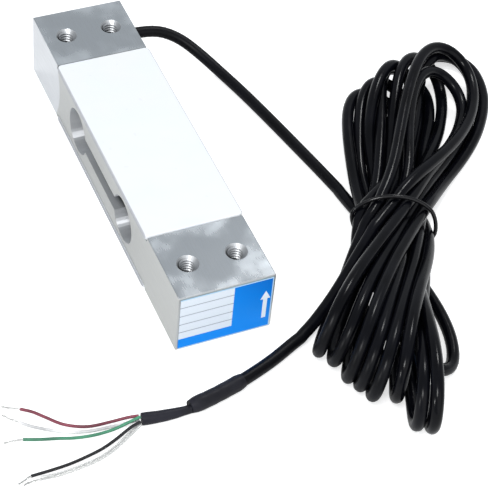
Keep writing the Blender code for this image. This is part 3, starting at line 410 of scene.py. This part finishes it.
def close_pairs(points, reach, apart):
    """Index pairs of points nearer than reach that are more than apart steps away along the cable."""
    cell = np.floor(points / reach).astype(int)
    cell -= cell.min(0)
    size = cell.max(0) + 3
    row = size[1] * size[2]
    key = (cell[:, 0] + 1) * row + (cell[:, 1] + 1) * size[2] + cell[:, 2] + 1
    order = np.argsort(key, kind="stable")
    ranked = key[order]
    first = []
    second = []
    for x in (-1, 0, 1):
        for y in (-1, 0, 1):
            for z in (-1, 0, 1):
                wanted = key + x * row + y * size[2] + z
                low = np.searchsorted(ranked, wanted, "left")
                count = np.searchsorted(ranked, wanted, "right") - low
                i = np.repeat(np.arange(len(points)), count)
                inside = np.arange(count.sum()) - np.repeat(np.cumsum(count) - count, count)
                j = order[np.repeat(low, count) + inside]
                keep = j > i + apart
                first.append(i[keep])
                second.append(j[keep])
    i = np.concatenate(first)
    j = np.concatenate(second)
    near = ((points[i] - points[j]) ** 2).sum(1) < reach ** 2
    return i[near], j[near]


def settle(points, hold, pinned):
    """Lets the hank's turns fall, press on each other, keep their bend and lie inside the tie."""
    home = points.copy()
    points = points.copy()
    count = len(points)
    apart = int(math.ceil(NEIGHBOURS_MM / STEP_MM))
    rest = np.linalg.norm(np.diff(points, axis=0), axis=1)
    for step in range(SETTLE_STEPS):
        part = step / SETTLE_STEPS
        # Keep to the chosen places, less firmly toward the end, and fall
        firm = KEEP_ACROSS * (1 if part < EASE_FROM else max(EASE_LEAST, 1 - (part - EASE_FROM) * EASE_RATE))
        points[:, :2] += (home[:, :2] - points[:, :2]) * (firm * hold)[:, None]
        points[:, 2] += (home[:, 2] - points[:, 2]) * (KEEP_UP * max(0, 1 - part * EASE_UP_RATE) * hold)
        points[:, 2] -= FALL_MM
        # Even out sharp changes of curve
        for gap, rate in STIFFNESS:
            curl = np.zeros_like(points)
            curl[gap:-gap] = points[:-2 * gap] - 2 * points[gap:-gap] + points[2 * gap:]
            points[gap:-gap] -= rate * (curl[:-2 * gap] - 2 * curl[gap:-gap] + curl[2 * gap:])
        # Open bends that are tighter than the cable's own
        for gap in BEND_GAPS:
            chord = 2 * BEND_MM * math.sin(min(gap * STEP_MM / (2 * BEND_MM), math.pi / 2))
            span = points[gap:] - points[:-gap]
            length = np.linalg.norm(span, axis=1)
            move = span * (np.minimum(0, length - chord) / length * BEND_RATE)[:, None]
            points[:-gap] += move
            points[gap:] -= move
        # Keep the length
        for _ in range(2):
            span = np.diff(points, axis=0)
            length = np.linalg.norm(span, axis=1)
            move = span * ((length - rest) / length * STRETCH_RATE)[:, None]
            points[:-1] += move
            points[1:] -= move
        # Push turns apart, then keep them off the floor, under the pile's height and inside the tie
        for _ in range(3):
            i, j = close_pairs(points, CABLE_MM, apart)
            span = points[i] - points[j]
            length = np.linalg.norm(span, axis=1) + 1e-9
            push = span * ((CABLE_MM * PRESS_ROOM - length) / length * PRESS_RATE)[:, None]
            total = np.zeros_like(points)
            touched = np.zeros(count)
            np.add.at(total, i, push)
            np.add.at(total, j, -push)
            np.add.at(touched, i, 1)
            np.add.at(touched, j, 1)
            points += total / np.maximum(1, touched ** 0.5)[:, None]
            under_tie = np.exp(-(points[:, 0] / TIE_ROOM_ALONG) ** 4) * (np.abs(points[:, 1]) < TIE_ROOM_ACROSS)
            points[:, 2] = np.clip(points[:, 2], OFF_FLOOR + TIE_ROOM * under_tie, PILE_MM)
            near = np.abs(points[:, 0]) < TIE_REACH
            x = (points[near, 1] - TIE_ACROSS) / TIE_HALF_WIDTH
            z = (points[near, 2] - TIE_UP) / TIE_HALF_HEIGHT
            out = (np.abs(x) ** TIE_SQUARE + np.abs(z) ** TIE_SQUARE) ** (1 / TIE_SQUARE)
            drawn = np.where(out > 1, 1 - TIE_DRAW * (1 - 1 / np.maximum(out, 1)), 1)
            points[near, 1] = TIE_ACROSS + (points[near, 1] - TIE_ACROSS) * drawn
            points[near, 2] = TIE_UP + (points[near, 2] - TIE_UP) * drawn
            points[pinned] = home[pinned]
    return points


def cable_line():
    """The whole cable's centre line in metres, from the bore to the sleeves."""
    start, hold = hank_route()
    run = np.arange(len(start)) * STEP_MM
    lead = np.linalg.norm(np.diff([to_hank(p) for p in LEAD], axis=0), axis=1).sum() - 6
    tail = np.linalg.norm(np.diff([to_hank(p) for p in TAIL[1:]], axis=0), axis=1).sum()
    pinned = (run < lead) | (run > run[-1] - tail)
    return from_hank(settle(start, hold, pinned))


def tie_line(line):
    """Evened ring close round every pass of the settled cable, in a slanted plane that leans a little."""
    local = np.array([to_hank(p) for p in line])
    along = np.array([math.cos(TIE_SLANT), -math.sin(TIE_SLANT)])
    across = np.array([math.sin(TIE_SLANT), math.cos(TIE_SLANT)])
    flat = local[:, :2] - np.array(TIE_MIDDLE)
    near = np.abs(flat @ along - TIE_LEAN * (local[:, 2] - TIE_UP)) < TIE_SLICE
    section = np.stack([flat[near] @ across, local[near, 2]], 1)
    grown = (CABLE_MM + TIE_THICK) / 2 + 0.05
    step = math.tau / TIE_POINTS
    turn = np.arange(TIE_POINTS) * math.tau / TIE_POINTS
    ways = np.stack([np.cos(turn), np.sin(turn)], 1)
    tight = (section @ ways.T).max(0) + grown
    reach = tight.copy()
    for _ in range(TIE_EVEN):
        reach = (np.roll(reach, 1) + 2 * reach + np.roll(reach, -1)) / 4
    reach += (tight - reach).max() * TIE_SLACK
    slope = (np.roll(reach, -1) - np.roll(reach, 1)) / (2 * step)
    ring = []
    for k in range(TIE_POINTS):
        side = reach[k] * ways[k, 0] - slope[k] * ways[k, 1]
        up = max(reach[k] * ways[k, 1] + slope[k] * ways[k, 0], TIE_THICK / 2 + 0.03)
        place = np.array(TIE_MIDDLE) + across * side + along * TIE_LEAN * (up - TIE_UP)
        ring.append((place[0], place[1], up))
    return from_hank(np.array(ring))


def curve_piece(name, lines, radius, surface, resolution, radii=None, closed=False):
    """A round cord along each line of points; radii are shares of the radius, spread along it."""
    data = bpy.data.curves.new(name, "CURVE")
    data.dimensions = "3D"
    data.bevel_depth = radius
    data.bevel_resolution = resolution
    data.use_fill_caps = True
    for line in lines:
        cord = data.splines.new("POLY")
        cord.points.add(len(line) - 1)
        for point, place in zip(cord.points, line):
            point.co = (*place, 1)
        cord.use_smooth = True
        cord.use_cyclic_u = closed
        if radii is not None:
            shares = np.interp(np.linspace(0, 1, len(line)), np.linspace(0, 1, len(radii)), radii)
            for point, share in zip(cord.points, shares):
                point.radius = share
    data.materials.append(surface)
    made = bpy.data.objects.new(name, data)
    bpy.context.scene.collection.objects.link(made)
    return made


def node(tree, kind, inputs=None, **settings):
    """A shader node with its settings; an input is a value or another node's socket."""
    made = tree.nodes.new(kind)
    for key, value in settings.items():
        setattr(made, key, value)
    for key, value in (inputs or {}).items():
        if isinstance(value, bpy.types.NodeSocket):
            tree.links.new(value, made.inputs[key])
        else:
            made.inputs[key].default_value = value
    return made


def math_node(tree, operation, *values, clamp=False):
    made = node(tree, "ShaderNodeMath", dict(enumerate(values)), operation=operation, use_clamp=clamp)
    return made.outputs[0]


def mix(tree, share, first, second):
    made = node(tree, "ShaderNodeMix", {0: share, 6: first, 7: second}, data_type="RGBA")
    return made.outputs[2]


def mix_value(tree, share, first, second):
    return node(tree, "ShaderNodeMix", {0: share, 2: first, 3: second}, data_type="FLOAT").outputs[0]


def spread(tree, value, low, high, out_low=0.0, out_high=1.0):
    inputs = {"Value": value, "From Min": low, "From Max": high, "To Min": out_low, "To Max": out_high}
    return node(tree, "ShaderNodeMapRange", inputs).outputs[0]


def place_of(tree, stretch=(1, 1, 1)):
    """Coordinates in metres in the row frame, stretched along each axis."""
    coordinates = node(tree, "ShaderNodeTexCoord").outputs["Object"]
    return node(tree, "ShaderNodeMapping", {"Vector": coordinates, "Scale": stretch}).outputs[0]


def noise(tree, vector, scale, detail=3.0, roughness=0.5):
    inputs = {"Vector": vector, "Scale": scale, "Detail": detail, "Roughness": roughness}
    return node(tree, "ShaderNodeTexNoise", inputs).outputs[0]


def rgb(colour, level=1.0):
    return (colour[0] * level, colour[1] * level, colour[2] * level, 1.0)


def bump(tree, height, strength, distance, normal=None):
    inputs = {"Height": height, "Strength": strength, "Distance": distance}
    if normal is not None:
        inputs["Normal"] = normal
    return node(tree, "ShaderNodeBump", inputs).outputs[0]


def start_material(name, metallic=0.0, **constants):
    made = bpy.data.materials.new(name)
    made.use_nodes = True
    tree = made.node_tree
    shader = tree.nodes["Principled BSDF"]
    shader.inputs["Metallic"].default_value = metallic
    for key, value in constants.items():
        shader.inputs[key.replace("_", " ")].default_value = value
    return made, tree, shader


def plain_material(name, colour, roughness, metallic=0.0, grain=900.0, depth=0.00002, swing=0.12, **constants):
    """Fine grained material: the colour, the gloss and the surface vary with two noises."""
    made, tree, shader = start_material(name, metallic, **constants)
    place = place_of(tree)
    fine = noise(tree, place, grain)
    broad = noise(tree, place, grain / 14)
    tone = mix(tree, spread(tree, broad, 0.3, 0.7), rgb(colour, 1 - swing), rgb(colour, 1 + swing))
    tree.links.new(tone, shader.inputs["Base Color"])
    gloss = spread(tree, fine, 0.3, 0.7, roughness * 0.85, min(1, roughness * 1.15))
    tree.links.new(gloss, shader.inputs["Roughness"])
    tree.links.new(bump(tree, fine, 0.35, depth), shader.inputs["Normal"])
    return made


def dress(piece, surface):
    """Puts the surface in every material slot of a piece or a CAD node."""
    for held in piece.material_slots:
        held.material = surface


def distance(tree, first, second):
    squares = [math_node(tree, "POWER", part, 2.0) for part in (first, second)]
    return math_node(tree, "SQRT", math_node(tree, "ADD", *squares))


def hollow(tree, reach, samples):
    """How open a surface lies within a reach: near 0 deep in a hollow, 1 on open ground."""
    return node(tree, "ShaderNodeAmbientOcclusion", {"Distance": reach}, samples=samples).outputs["AO"]


def inside(tree, value, low, high):
    above = math_node(tree, "GREATER_THAN", value, low)
    return math_node(tree, "MULTIPLY", above, math_node(tree, "LESS_THAN", value, high))


def aluminium():
    """Satin aluminium: brushed along the beam, a painted sheen in rougher patches round the pads, a painted
    reflection on the sides of the fixed end, painted shade in the aperture and the threads, and a painted
    highlight on the cut edge over the load end.
    """
    made, tree, shader = start_material("aluminium_satin")
    place = place_of(tree)
    x, y, z = node(tree, "ShaderNodeSeparateXYZ", {0: place}).outputs
    facing = node(tree, "ShaderNodeNewGeometry").outputs["Normal"]
    parts = node(tree, "ShaderNodeSeparateXYZ", {0: facing}).outputs
    flat = spread(tree, math_node(tree, "ABSOLUTE", parts[2]), 0.6, 0.9)
    smudge = noise(tree, place, 110.0, 2.0, 0.5)
    streak = noise(tree, place_of(tree, (0.05, 1, 1)), 2400.0, 4.0, 0.6)
    scratch = noise(tree, place_of(tree, (1, 0.06, 1)), 1500.0, 2.0, 0.7)
    # Top faces a little bluer and brighter than the sides: a painted sky reflection
    tone = mix(tree, flat, rgb(SIDE_TONE), rgb(PAD_TONE))

    # Soft lighter patches round the pads, which lie off the middle of each pad: a painted sheen, with a rougher
    # finish in them
    away = distance(tree, math_node(tree, "SUBTRACT", math_node(tree, "ABSOLUTE", x), PAD_MIDDLE), y)
    away = math_node(tree, "ADD", away, math_node(tree, "MULTIPLY", smudge, 0.014))
    ring = math_node(tree, "MULTIPLY", spread(tree, away, RING_FROM, RING_TO), flat)
    sheen_and_rough_patch = math_node(tree, "MULTIPLY", ring, spread(tree, smudge, 0.36, 0.66))
    tone = mix(tree, sheen_and_rough_patch, tone, rgb(PAD_TONE, 1.12))

    # Bright patch on the sides of the fixed end: a painted reflection, not a wiped finish
    rise = math_node(tree, "DIVIDE", math_node(tree, "SUBTRACT", z, REFLECTION_MIDDLE), REFLECTION_HALF)
    bow = math_node(tree, "MULTIPLY", math_node(tree, "POWER", rise, 2.0), REFLECTION_BOW)
    wiped = spread(tree, math_node(tree, "ADD", x, bow), REFLECTION_TO, REFLECTION_TO - REFLECTION_SOFT)
    sides = math_node(tree, "GREATER_THAN", math_node(tree, "ABSOLUTE", parts[1]), 0.5)
    wiped = math_node(tree, "MULTIPLY", wiped, sides)
    tone = mix(tree, wiped, tone, rgb(ALUMINIUM, 1.36))
    tone = mix(tree, spread(tree, streak, 0.35, 0.75, 0.0, 0.3), tone, rgb(ALUMINIUM, 0.85))

    # Bored and milled walls of the aperture: painted shade where they lie deep, and painted lighter grey near
    # the mouths
    within = math_node(tree, "SUBTRACT", 1.0, sides)
    within = math_node(tree, "MULTIPLY", within, inside(tree, x, -APERTURE_REACH, APERTURE_REACH))
    within = math_node(tree, "MULTIPLY", within, inside(tree, z, APERTURE_LOW, HEIGHT - APERTURE_LOW))
    lit = spread(tree, hollow(tree, DEEP_REACH, 32), 0.28, 0.35)
    bore_painted_shade = mix(tree, lit, rgb(ALUMINIUM, 0.05), rgb(ALUMINIUM, 1.25))
    tone = mix(tree, within, tone, bore_painted_shade)

    # Tapped holes: painted shade between the ridges of the thread, and the hole painted darker than the pad
    off_axis = distance(
        tree, math_node(tree, "SUBTRACT", math_node(tree, "ABSOLUTE", x), TAPPED_X),
        math_node(tree, "SUBTRACT", math_node(tree, "ABSOLUTE", y), TAPPED_Y),
    )
    tapped = math_node(tree, "LESS_THAN", off_axis, THREAD_MOUTH + 0.0002)
    tapped = math_node(tree, "MULTIPLY", tapped, inside(tree, z, 0.00005, HEIGHT - 0.00005))
    lit = spread(tree, hollow(tree, RIDGE_REACH, 8), 0.3, 0.8)
    thread_painted_shade = mix(tree, lit, rgb(ALUMINIUM, 0.1), rgb(ALUMINIUM, 0.85))
    tone = mix(tree, tapped, tone, thread_painted_shade)

    # Chamfer over the load end painted bright: a painted highlight along the edge
    chamfer_highlight = inside(tree, parts[2], 0.5, 0.95)
    chamfer_highlight = math_node(tree, "MULTIPLY", chamfer_highlight, math_node(tree, "GREATER_THAN", x, HALF_LENGTH - 0.001))
    tone = mix(tree, chamfer_highlight, tone, rgb(ALUMINIUM, 1.5))
    tree.links.new(tone, shader.inputs["Base Color"])

    # The bores shine in bands along their length, across the tool marks
    tree.links.new(spread(tree, within, 0.0, 1.0, 1.0, 0.75), shader.inputs["Metallic"])
    tree.links.new(within, shader.inputs["Anisotropic"])
    tree.links.new(node(tree, "ShaderNodeCombineXYZ", {1: 1.0}).outputs[0], shader.inputs["Tangent"])

    fine = spread(tree, streak, 0.3, 0.7, -0.025, 0.025)
    even = spread(tree, flat, 0.0, 1.0, 0.36, 0.2)
    gloss = math_node(tree, "ADD", mix_value(tree, sheen_and_rough_patch, even, WIPED_ROUGHNESS), fine)
    gloss = mix_value(tree, within, gloss, BORE_ROUGHNESS)
    tree.links.new(mix_value(tree, tapped, gloss, THREAD_ROUGHNESS), shader.inputs["Roughness"])
    normal = bump(tree, streak, 0.3, 0.00003)
    normal = bump(tree, spread(tree, scratch, 0.62, 0.75), 0.15, 0.00003, normal)
    tree.links.new(normal, shader.inputs["Normal"])
    return made


def silicone():
    """White gauge coat, poured and wiped: low waves, faint grain and a cool tint in places."""
    made, tree, shader = start_material("silicone_white", Specular_IOR_Level=0.35)
    place = place_of(tree)
    wave = noise(tree, place, 75.0, 2.0)
    grain = noise(tree, place, 1300.0, 3.0)
    tone = mix(tree, spread(tree, wave, 0.35, 0.65), rgb(COAT_WHITE, 0.97), rgb(COAT_TINT))
    speck = spread(tree, noise(tree, place, 420.0, 1.0), 0.74, 0.78, 0.0, 0.2)
    tone = mix(tree, speck, tone, rgb(COAT_WHITE, 0.8))
    # Grey line along the coat's long edges: painted shade on the rounded edge
    across = node(tree, "ShaderNodeSeparateXYZ", {0: place}).outputs[1]
    edge_shade = spread(tree, math_node(tree, "ABSOLUTE", across), COAT_RIM - 0.0002, COAT_RIM)
    tone = mix(tree, edge_shade, tone, rgb(COAT_EDGE_SHADE))
    tree.links.new(tone, shader.inputs["Base Color"])
    tree.links.new(spread(tree, grain, 0.3, 0.7, 0.38, 0.55), shader.inputs["Roughness"])
    normal = bump(tree, grain, 0.25, 0.00003)
    tree.links.new(bump(tree, wave, 0.5, 0.0006, normal), shader.inputs["Normal"])
    return made


def label_material():
    """Printed label in the label's own proportions: pale panel with rules, blue fields, white arrow."""
    made, tree, shader = start_material("label_print", Specular_IOR_Level=0.12)
    place = place_of(tree)
    parts = node(tree, "ShaderNodeSeparateXYZ", {0: place}).outputs
    across = spread(tree, parts[1], -LABEL_HALF, LABEL_HALF)
    up = spread(tree, parts[2], LABEL_LOW, LABEL_HIGH)
    grain = noise(tree, place, 2200.0)
    white = mix(tree, grain, rgb(LABEL_WHITE, 0.97), rgb(LABEL_WHITE, 1.03))
    ruled = 0.0
    for level in LABEL_RULES:
        line = inside(tree, up, level - LABEL_RULE / 2, level + LABEL_RULE / 2)
        ruled = math_node(tree, "ADD", ruled, line, clamp=True)
    panel = mix(tree, math_node(tree, "MULTIPLY", ruled, 0.75), white, rgb(LABEL_LINE))
    depth = math_node(tree, "MULTIPLY", spread(tree, up, 0.2, 1.0), spread(tree, across, 0.3, 1.0))
    blue = mix(tree, depth, rgb(LABEL_BLUE), rgb(LABEL_DEEP))
    column = math_node(tree, "GREATER_THAN", across, LABEL_PANEL)
    strip = math_node(tree, "LESS_THAN", up, LABEL_STRIP)
    tone = mix(tree, math_node(tree, "MAXIMUM", column, strip), panel, blue)
    aside = math_node(tree, "ABSOLUTE", math_node(tree, "SUBTRACT", across, ARROW_MIDDLE))
    slope = spread(tree, up, ARROW_NECK, ARROW_TIP, ARROW_HEAD, 0.0)
    head = math_node(tree, "LESS_THAN", aside, slope)
    head = math_node(tree, "MULTIPLY", head, inside(tree, up, ARROW_NECK, ARROW_TIP))
    shaft = math_node(tree, "LESS_THAN", aside, ARROW_SHAFT)
    shaft = math_node(tree, "MULTIPLY", shaft, inside(tree, up, ARROW_FOOT, ARROW_NECK))
    tone = mix(tree, math_node(tree, "MAXIMUM", head, shaft), tone, rgb(LABEL_WHITE, 1.05))
    field = inside(tree, across, -1.0, 1 - LABEL_EDGE)
    field = math_node(tree, "MULTIPLY", field, inside(tree, up, LABEL_EDGE * 1.4, 1 - LABEL_EDGE * 1.4))
    tone = mix(tree, field, rgb(LABEL_RIM), tone)
    tree.links.new(tone, shader.inputs["Base Color"])
    tree.links.new(spread(tree, grain, 0.3, 0.7, 0.28, 0.4), shader.inputs["Roughness"])
    ripple = noise(tree, place, 160.0, 2.0)
    tree.links.new(bump(tree, ripple, 0.2, 0.0002), shader.inputs["Normal"])
    return made


def gauge_material():
    """Strain gauge: amber film with the bright foil grid along the beam."""
    made, tree, shader = start_material("gauge_foil", 0.4)
    place = place_of(tree)
    across = node(tree, "ShaderNodeSeparateXYZ", {0: place}).outputs[1]
    wave = math_node(tree, "SINE", math_node(tree, "MULTIPLY", across, math.tau / GRID_PITCH))
    film = mix(tree, noise(tree, place, 900.0), rgb(FILM_DARK), rgb(FILM_LIGHT))
    tone = mix(tree, spread(tree, wave, 0.0, 0.3), film, rgb(FOIL))
    tree.links.new(tone, shader.inputs["Base Color"])
    tree.links.new(spread(tree, noise(tree, place, 2500.0), 0.3, 0.7, 0.25, 0.4), shader.inputs["Roughness"])
    tree.links.new(bump(tree, wave, 0.2, 0.00002), shader.inputs["Normal"])
    return made


def sheath_material(name, colour, roughness, shine):
    """Soft plastic skin: dull and clear patches, a fine grain and faint long ripples."""
    made, tree, shader = start_material(name, Specular_IOR_Level=shine)
    place = place_of(tree)
    patch = noise(tree, place, 90.0, 3.0, 0.6)
    grain = noise(tree, place, 1700.0, 2.0)
    tone = mix(tree, spread(tree, patch, 0.4, 0.65), rgb(colour, 0.8), rgb(colour, 1.6))
    tree.links.new(tone, shader.inputs["Base Color"])
    dull = spread(tree, patch, 0.4, 0.7, roughness * 0.85, roughness * 1.3)
    x, y, _ = node(tree, "ShaderNodeSeparateXYZ", {0: place}).outputs
    # The tail and the lead are duller from handling
    handled = spread(tree, math_node(tree, "ADD", y, math_node(tree, "MULTIPLY", x, -0.3)), 0.003, -0.003)
    lead = math_node(tree, "MULTIPLY", spread(tree, x, 0.03, 0.02), spread(tree, y, 0.058, 0.054))
    handled = math_node(tree, "MAXIMUM", handled, lead)
    dull = mix_value(tree, handled, dull, max(roughness, HANDLED_ROUGHNESS))
    tree.links.new(dull, shader.inputs["Roughness"])
    normal = bump(tree, grain, 0.2, 0.00003)
    tree.links.new(bump(tree, noise(tree, place, 220.0, 2.0), 0.15, 0.0002, normal), shader.inputs["Normal"])
    return made


def clear_sleeve():
    """Milky clear tube over the bare drain wire."""
    made, tree, shader = start_material("sleeve_clear", IOR=1.4, Specular_IOR_Level=0.5)
    place = place_of(tree)
    cloud = noise(tree, place, 300.0, 3.0)
    tone = mix(tree, cloud, rgb(CLEAR, 0.94), rgb(CLEAR, 1.04))
    tree.links.new(tone, shader.inputs["Base Color"])
    tree.links.new(spread(tree, cloud, 0.3, 0.7, 0.55, 0.75), shader.inputs["Transmission Weight"])
    tree.links.new(spread(tree, cloud, 0.3, 0.7, 0.12, 0.22), shader.inputs["Roughness"])
    tree.links.new(bump(tree, cloud, 0.2, 0.00005), shader.inputs["Normal"])
    return made


def floor_material():
    """Pale floor that the camera and mirrors see as white, with the object's shadow kept."""
    made = bpy.data.materials.new("floor_white")
    made.use_nodes = True
    tree = made.node_tree
    tree.nodes.clear()
    path = node(tree, "ShaderNodeLightPath")
    mirrored = math_node(tree, "MULTIPLY", path.outputs["Is Glossy Ray"], FLOOR_MIRRORED)
    seen = math_node(tree, "MAXIMUM", path.outputs["Is Camera Ray"], mirrored)
    seen = math_node(tree, "MAXIMUM", seen, path.outputs["Is Transmission Ray"])
    diffuse = node(tree, "ShaderNodeBsdfDiffuse", {"Color": FLOOR_TONE}).outputs[0]
    strength = math_node(tree, "MULTIPLY", seen, FLOOR_GLOW)
    glow = node(tree, "ShaderNodeEmission", {"Color": (1, 1, 1, 1), "Strength": strength})
    both = node(tree, "ShaderNodeAddShader", {0: diffuse, 1: glow.outputs[0]}).outputs[0]
    out = node(tree, "ShaderNodeOutputMaterial")
    tree.links.new(both, out.inputs["Surface"])
    return made


def make_stage():
    data = bpy.data.meshes.new("floor")
    corners = [(side * FLOOR_REACH, end * FLOOR_REACH, 0) for side, end in ((-1, -1), (1, -1), (1, 1), (-1, 1))]
    data.from_pydata(corners, [], [(0, 1, 2, 3)])
    data.materials.append(floor_material())
    floor = bpy.data.objects.new("floor", data)
    bpy.context.scene.collection.objects.link(floor)


def make_camera():
    data = bpy.data.cameras.new("camera")
    data.lens = CAMERA_LENS
    data.sensor_width = 36
    data.clip_start = 0.01
    camera = bpy.data.objects.new("camera", data)
    camera.location = CAMERA_PLACE
    camera.rotation_euler = [math.radians(a) for a in CAMERA_TURN]
    bpy.context.scene.collection.objects.link(camera)
    bpy.context.scene.camera = camera


def lamp(name, place, size, power):
    data = bpy.data.lights.new(name, "AREA")
    data.shape = "DISK"
    data.size = size
    data.energy = power
    made = bpy.data.objects.new(name, data)
    made.location = place
    made.rotation_euler = (Vector(LAMP_AIM) - Vector(place)).to_track_quat("-Z", "Y").to_euler()
    bpy.context.scene.collection.objects.link(made)


def make_lights():
    for name, place, size, power in LAMPS:
        lamp(name, place, size, power)
    world = bpy.data.worlds.new("studio")
    world.use_nodes = True
    sky = world.node_tree.nodes["Background"]
    sky.inputs["Color"].default_value = SKY_TONE
    sky.inputs["Strength"].default_value = SKY_STRENGTH
    bpy.context.scene.world = world
    bpy.context.scene.view_settings.view_transform = "Standard"


def thread_piece(name, x, y, surface):
    """Ridge of an M6 thread along one tapped hole, out into the countersink at both mouths."""
    around = THREAD_SIDES
    turns = (HEIGHT - 2 * THREAD_FROM) / THREAD_PITCH
    half = THREAD_PITCH * THREAD_HALF
    flank = half * THREAD_CREST
    bm = bmesh.new()
    rings = []
    for k in range(int(turns * around) + 1):
        angle = math.tau * k / around
        z = THREAD_FROM + THREAD_PITCH * k / around
        depth = min(z, HEIGHT - z)
        root = max(THREAD_ROOT, THREAD_MOUTH - depth + 0.0001)
        crest = root - THREAD_DEPTH * min(1, k / 12 + 0.05, (turns * around - k) / 12 + 0.05)
        ring = []
        for reach, rise in ((root, -half), (crest, -flank), (crest, flank), (root, half)):
            ring.append(bm.verts.new((x + reach * math.cos(angle), y + reach * math.sin(angle), z + rise)))
        rings.append(ring)
    for one, two in zip(rings, rings[1:]):
        for k in range(4):
            after = (k + 1) % 4
            bm.faces.new((one[k], one[after], two[after], two[k]))
    bm.faces.new(rings[0])
    bm.faces.new(rings[-1])
    bmesh.ops.recalc_face_normals(bm, faces=bm.faces)
    data = bpy.data.meshes.new(name)
    bm.to_mesh(data)
    bm.free()
    data.materials.append(surface)
    made = bpy.data.objects.new(name, data)
    bpy.context.scene.collection.objects.link(made)
    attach(made, "root")


def strand_lines(route, turn_length, spread_out):
    """Six strands twisted round a middle one along the route, a little apart at the end."""
    axis, _ = spline(route, 0.00025)
    ahead = np.gradient(axis, axis=0)
    ahead /= np.linalg.norm(ahead, axis=1)[:, None]
    aside = np.cross(ahead, (0, 0, 1))
    aside /= np.linalg.norm(aside, axis=1)[:, None]
    over = np.cross(aside, ahead)
    run = np.linspace(0, 1, len(axis))
    length = np.linalg.norm(np.diff(axis, axis=0), axis=1).sum()
    lines = [axis]
    for k in range(STRANDS_ROUND):
        angle = math.tau * k / STRANDS_ROUND + run * length / turn_length * math.tau
        away = STRAND * (1 + spread_out * (0.4 + 0.6 * math.sin(2.3 * k + 1)) * np.clip(run * 2 - 1, 0, 1) ** 2)
        side = (np.cos(angle) * away)[:, None] * aside + (np.sin(angle) * away)[:, None] * over
        line = axis + side
        line[:, 2] = np.maximum(line[:, 2], STRAND * 0.55)
        lines.append(line)
    return lines


make_camera()
make_stage()
make_lights()

sheath = sheath_material("sheath", SHEATH_BLACK, 0.2, 0.15)
shrink = sheath_material("heat_shrink", SHRINK_BLACK, 0.5, 0.24)
line = cable_line()
cable = curve_piece("cable", [line], CABLE / 2, sheath, 6)
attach(cable, "root")
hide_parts("cable_lead", "cable_hank", "cable_tail")

tie_skin = sheath_material("tie", TIE_BLACK, 0.2, 0.35)
tie = curve_piece("tie", [tie_line(line)], TIE_THICK / 2 * MM, tie_skin, 5, closed=True)
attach(tie, "root")
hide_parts("cable_tie")

rear_run = line[-int(SLEEVE_REAR / MM / STEP_MM) - 1:]
rear_run, _ = spline(rear_run, 0.0005)
rear_widest = max(SLEEVE_REAR_RADII)
sleeve_rear = curve_piece(
    "sleeve_rear", [rear_run], rear_widest, shrink, 8, radii=[r / rear_widest for r in SLEEVE_REAR_RADII],
)
front_run, _ = spline(SLEEVE_FRONT, 0.0005)
front_widest = max(SLEEVE_FRONT_RADII)
sleeve_front = curve_piece(
    "sleeve_front", [front_run], front_widest, shrink, 8, radii=[r / front_widest for r in SLEEVE_FRONT_RADII],
)
for piece, node_name in ((sleeve_rear, "heat_shrink_rear"), (sleeve_front, "heat_shrink_front")):
    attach(piece, "root")
    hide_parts(node_name)

tinned = plain_material("tinned", TINNED, 0.3, 1.0, grain=3000.0)
for name, route in CONDUCTORS.items():
    drain = name == "drain"
    diameter = DRAIN if drain else CONDUCTOR
    run, _ = spline(route, 0.001)
    surface = clear_sleeve() if drain else sheath_material(f"insulation_{name}", INSULATION[name], 0.3, 0.5)
    piece = curve_piece(f"wire_{name}", [run], diameter / 2, surface, 5)
    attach(piece, "root")
    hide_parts("shield_drain" if drain else f"conductor_{name}")
    before = route[:-1] if drain else route[-2:]
    bare = curve_piece(
        f"bare_{name}", strand_lines([*before, *TIPS[name]], STRAND_TURN, STRAND_SPREAD), STRAND / 2, tinned, 2,
    )
    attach(bare, "root")
    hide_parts(f"tip_{name}")

metal = aluminium()
dress(nodes["beam"], metal)
for x in (-TAPPED_X, TAPPED_X):
    for y in (-TAPPED_Y, TAPPED_Y):
        end = "load" if x > 0 else "fixed"
        side = "left" if y < 0 else "right"
        thread_piece(f"thread_{end}_{side}", x, y, metal)
coat = silicone()
dress(nodes["potting_top"], coat)
dress(nodes["potting_bottom"], coat)
dress(nodes["name_label"], label_material())
dress(nodes["cable_sealant"], plain_material("sealant", SEALANT_BLACK, 0.55, grain=700.0))

foil = gauge_material()
copper = plain_material("strip_copper", COPPER, 0.35, 1.0, grain=2500.0)
board = plain_material("board_green", BOARD_GREEN, 0.4, grain=1200.0)
body = plain_material("resistor_black", RESISTOR_BLACK, 0.5, grain=1500.0)
enamel = plain_material("wire_enamel", ENAMEL, 0.3, 0.6, grain=2000.0)
INNER = {
    foil: [
        "strain_gauge_top_fixed", "strain_gauge_top_load",
        "strain_gauge_bottom_fixed", "strain_gauge_bottom_load",
    ],
    copper: ["terminal_strip_top", "terminal_strip_bottom"],
    board: ["compensation_board"],
    body: ["zero_resistor", "span_resistor", "temperature_resistor"],
    enamel: [
        "gauge_wire_a", "gauge_wire_b", "jumper_top_a", "jumper_top_b", "jumper_bottom",
        "link_wire_a", "link_wire_b",
    ],
}
for surface, held in INNER.items():
    for name in held:
        dress(nodes[name], surface)
for name in ("red", "white", "green", "black"):
    dress(nodes[f"inner_{name}"], sheath_material(f"core_{name}", INSULATION[name], 0.35, 0.4))
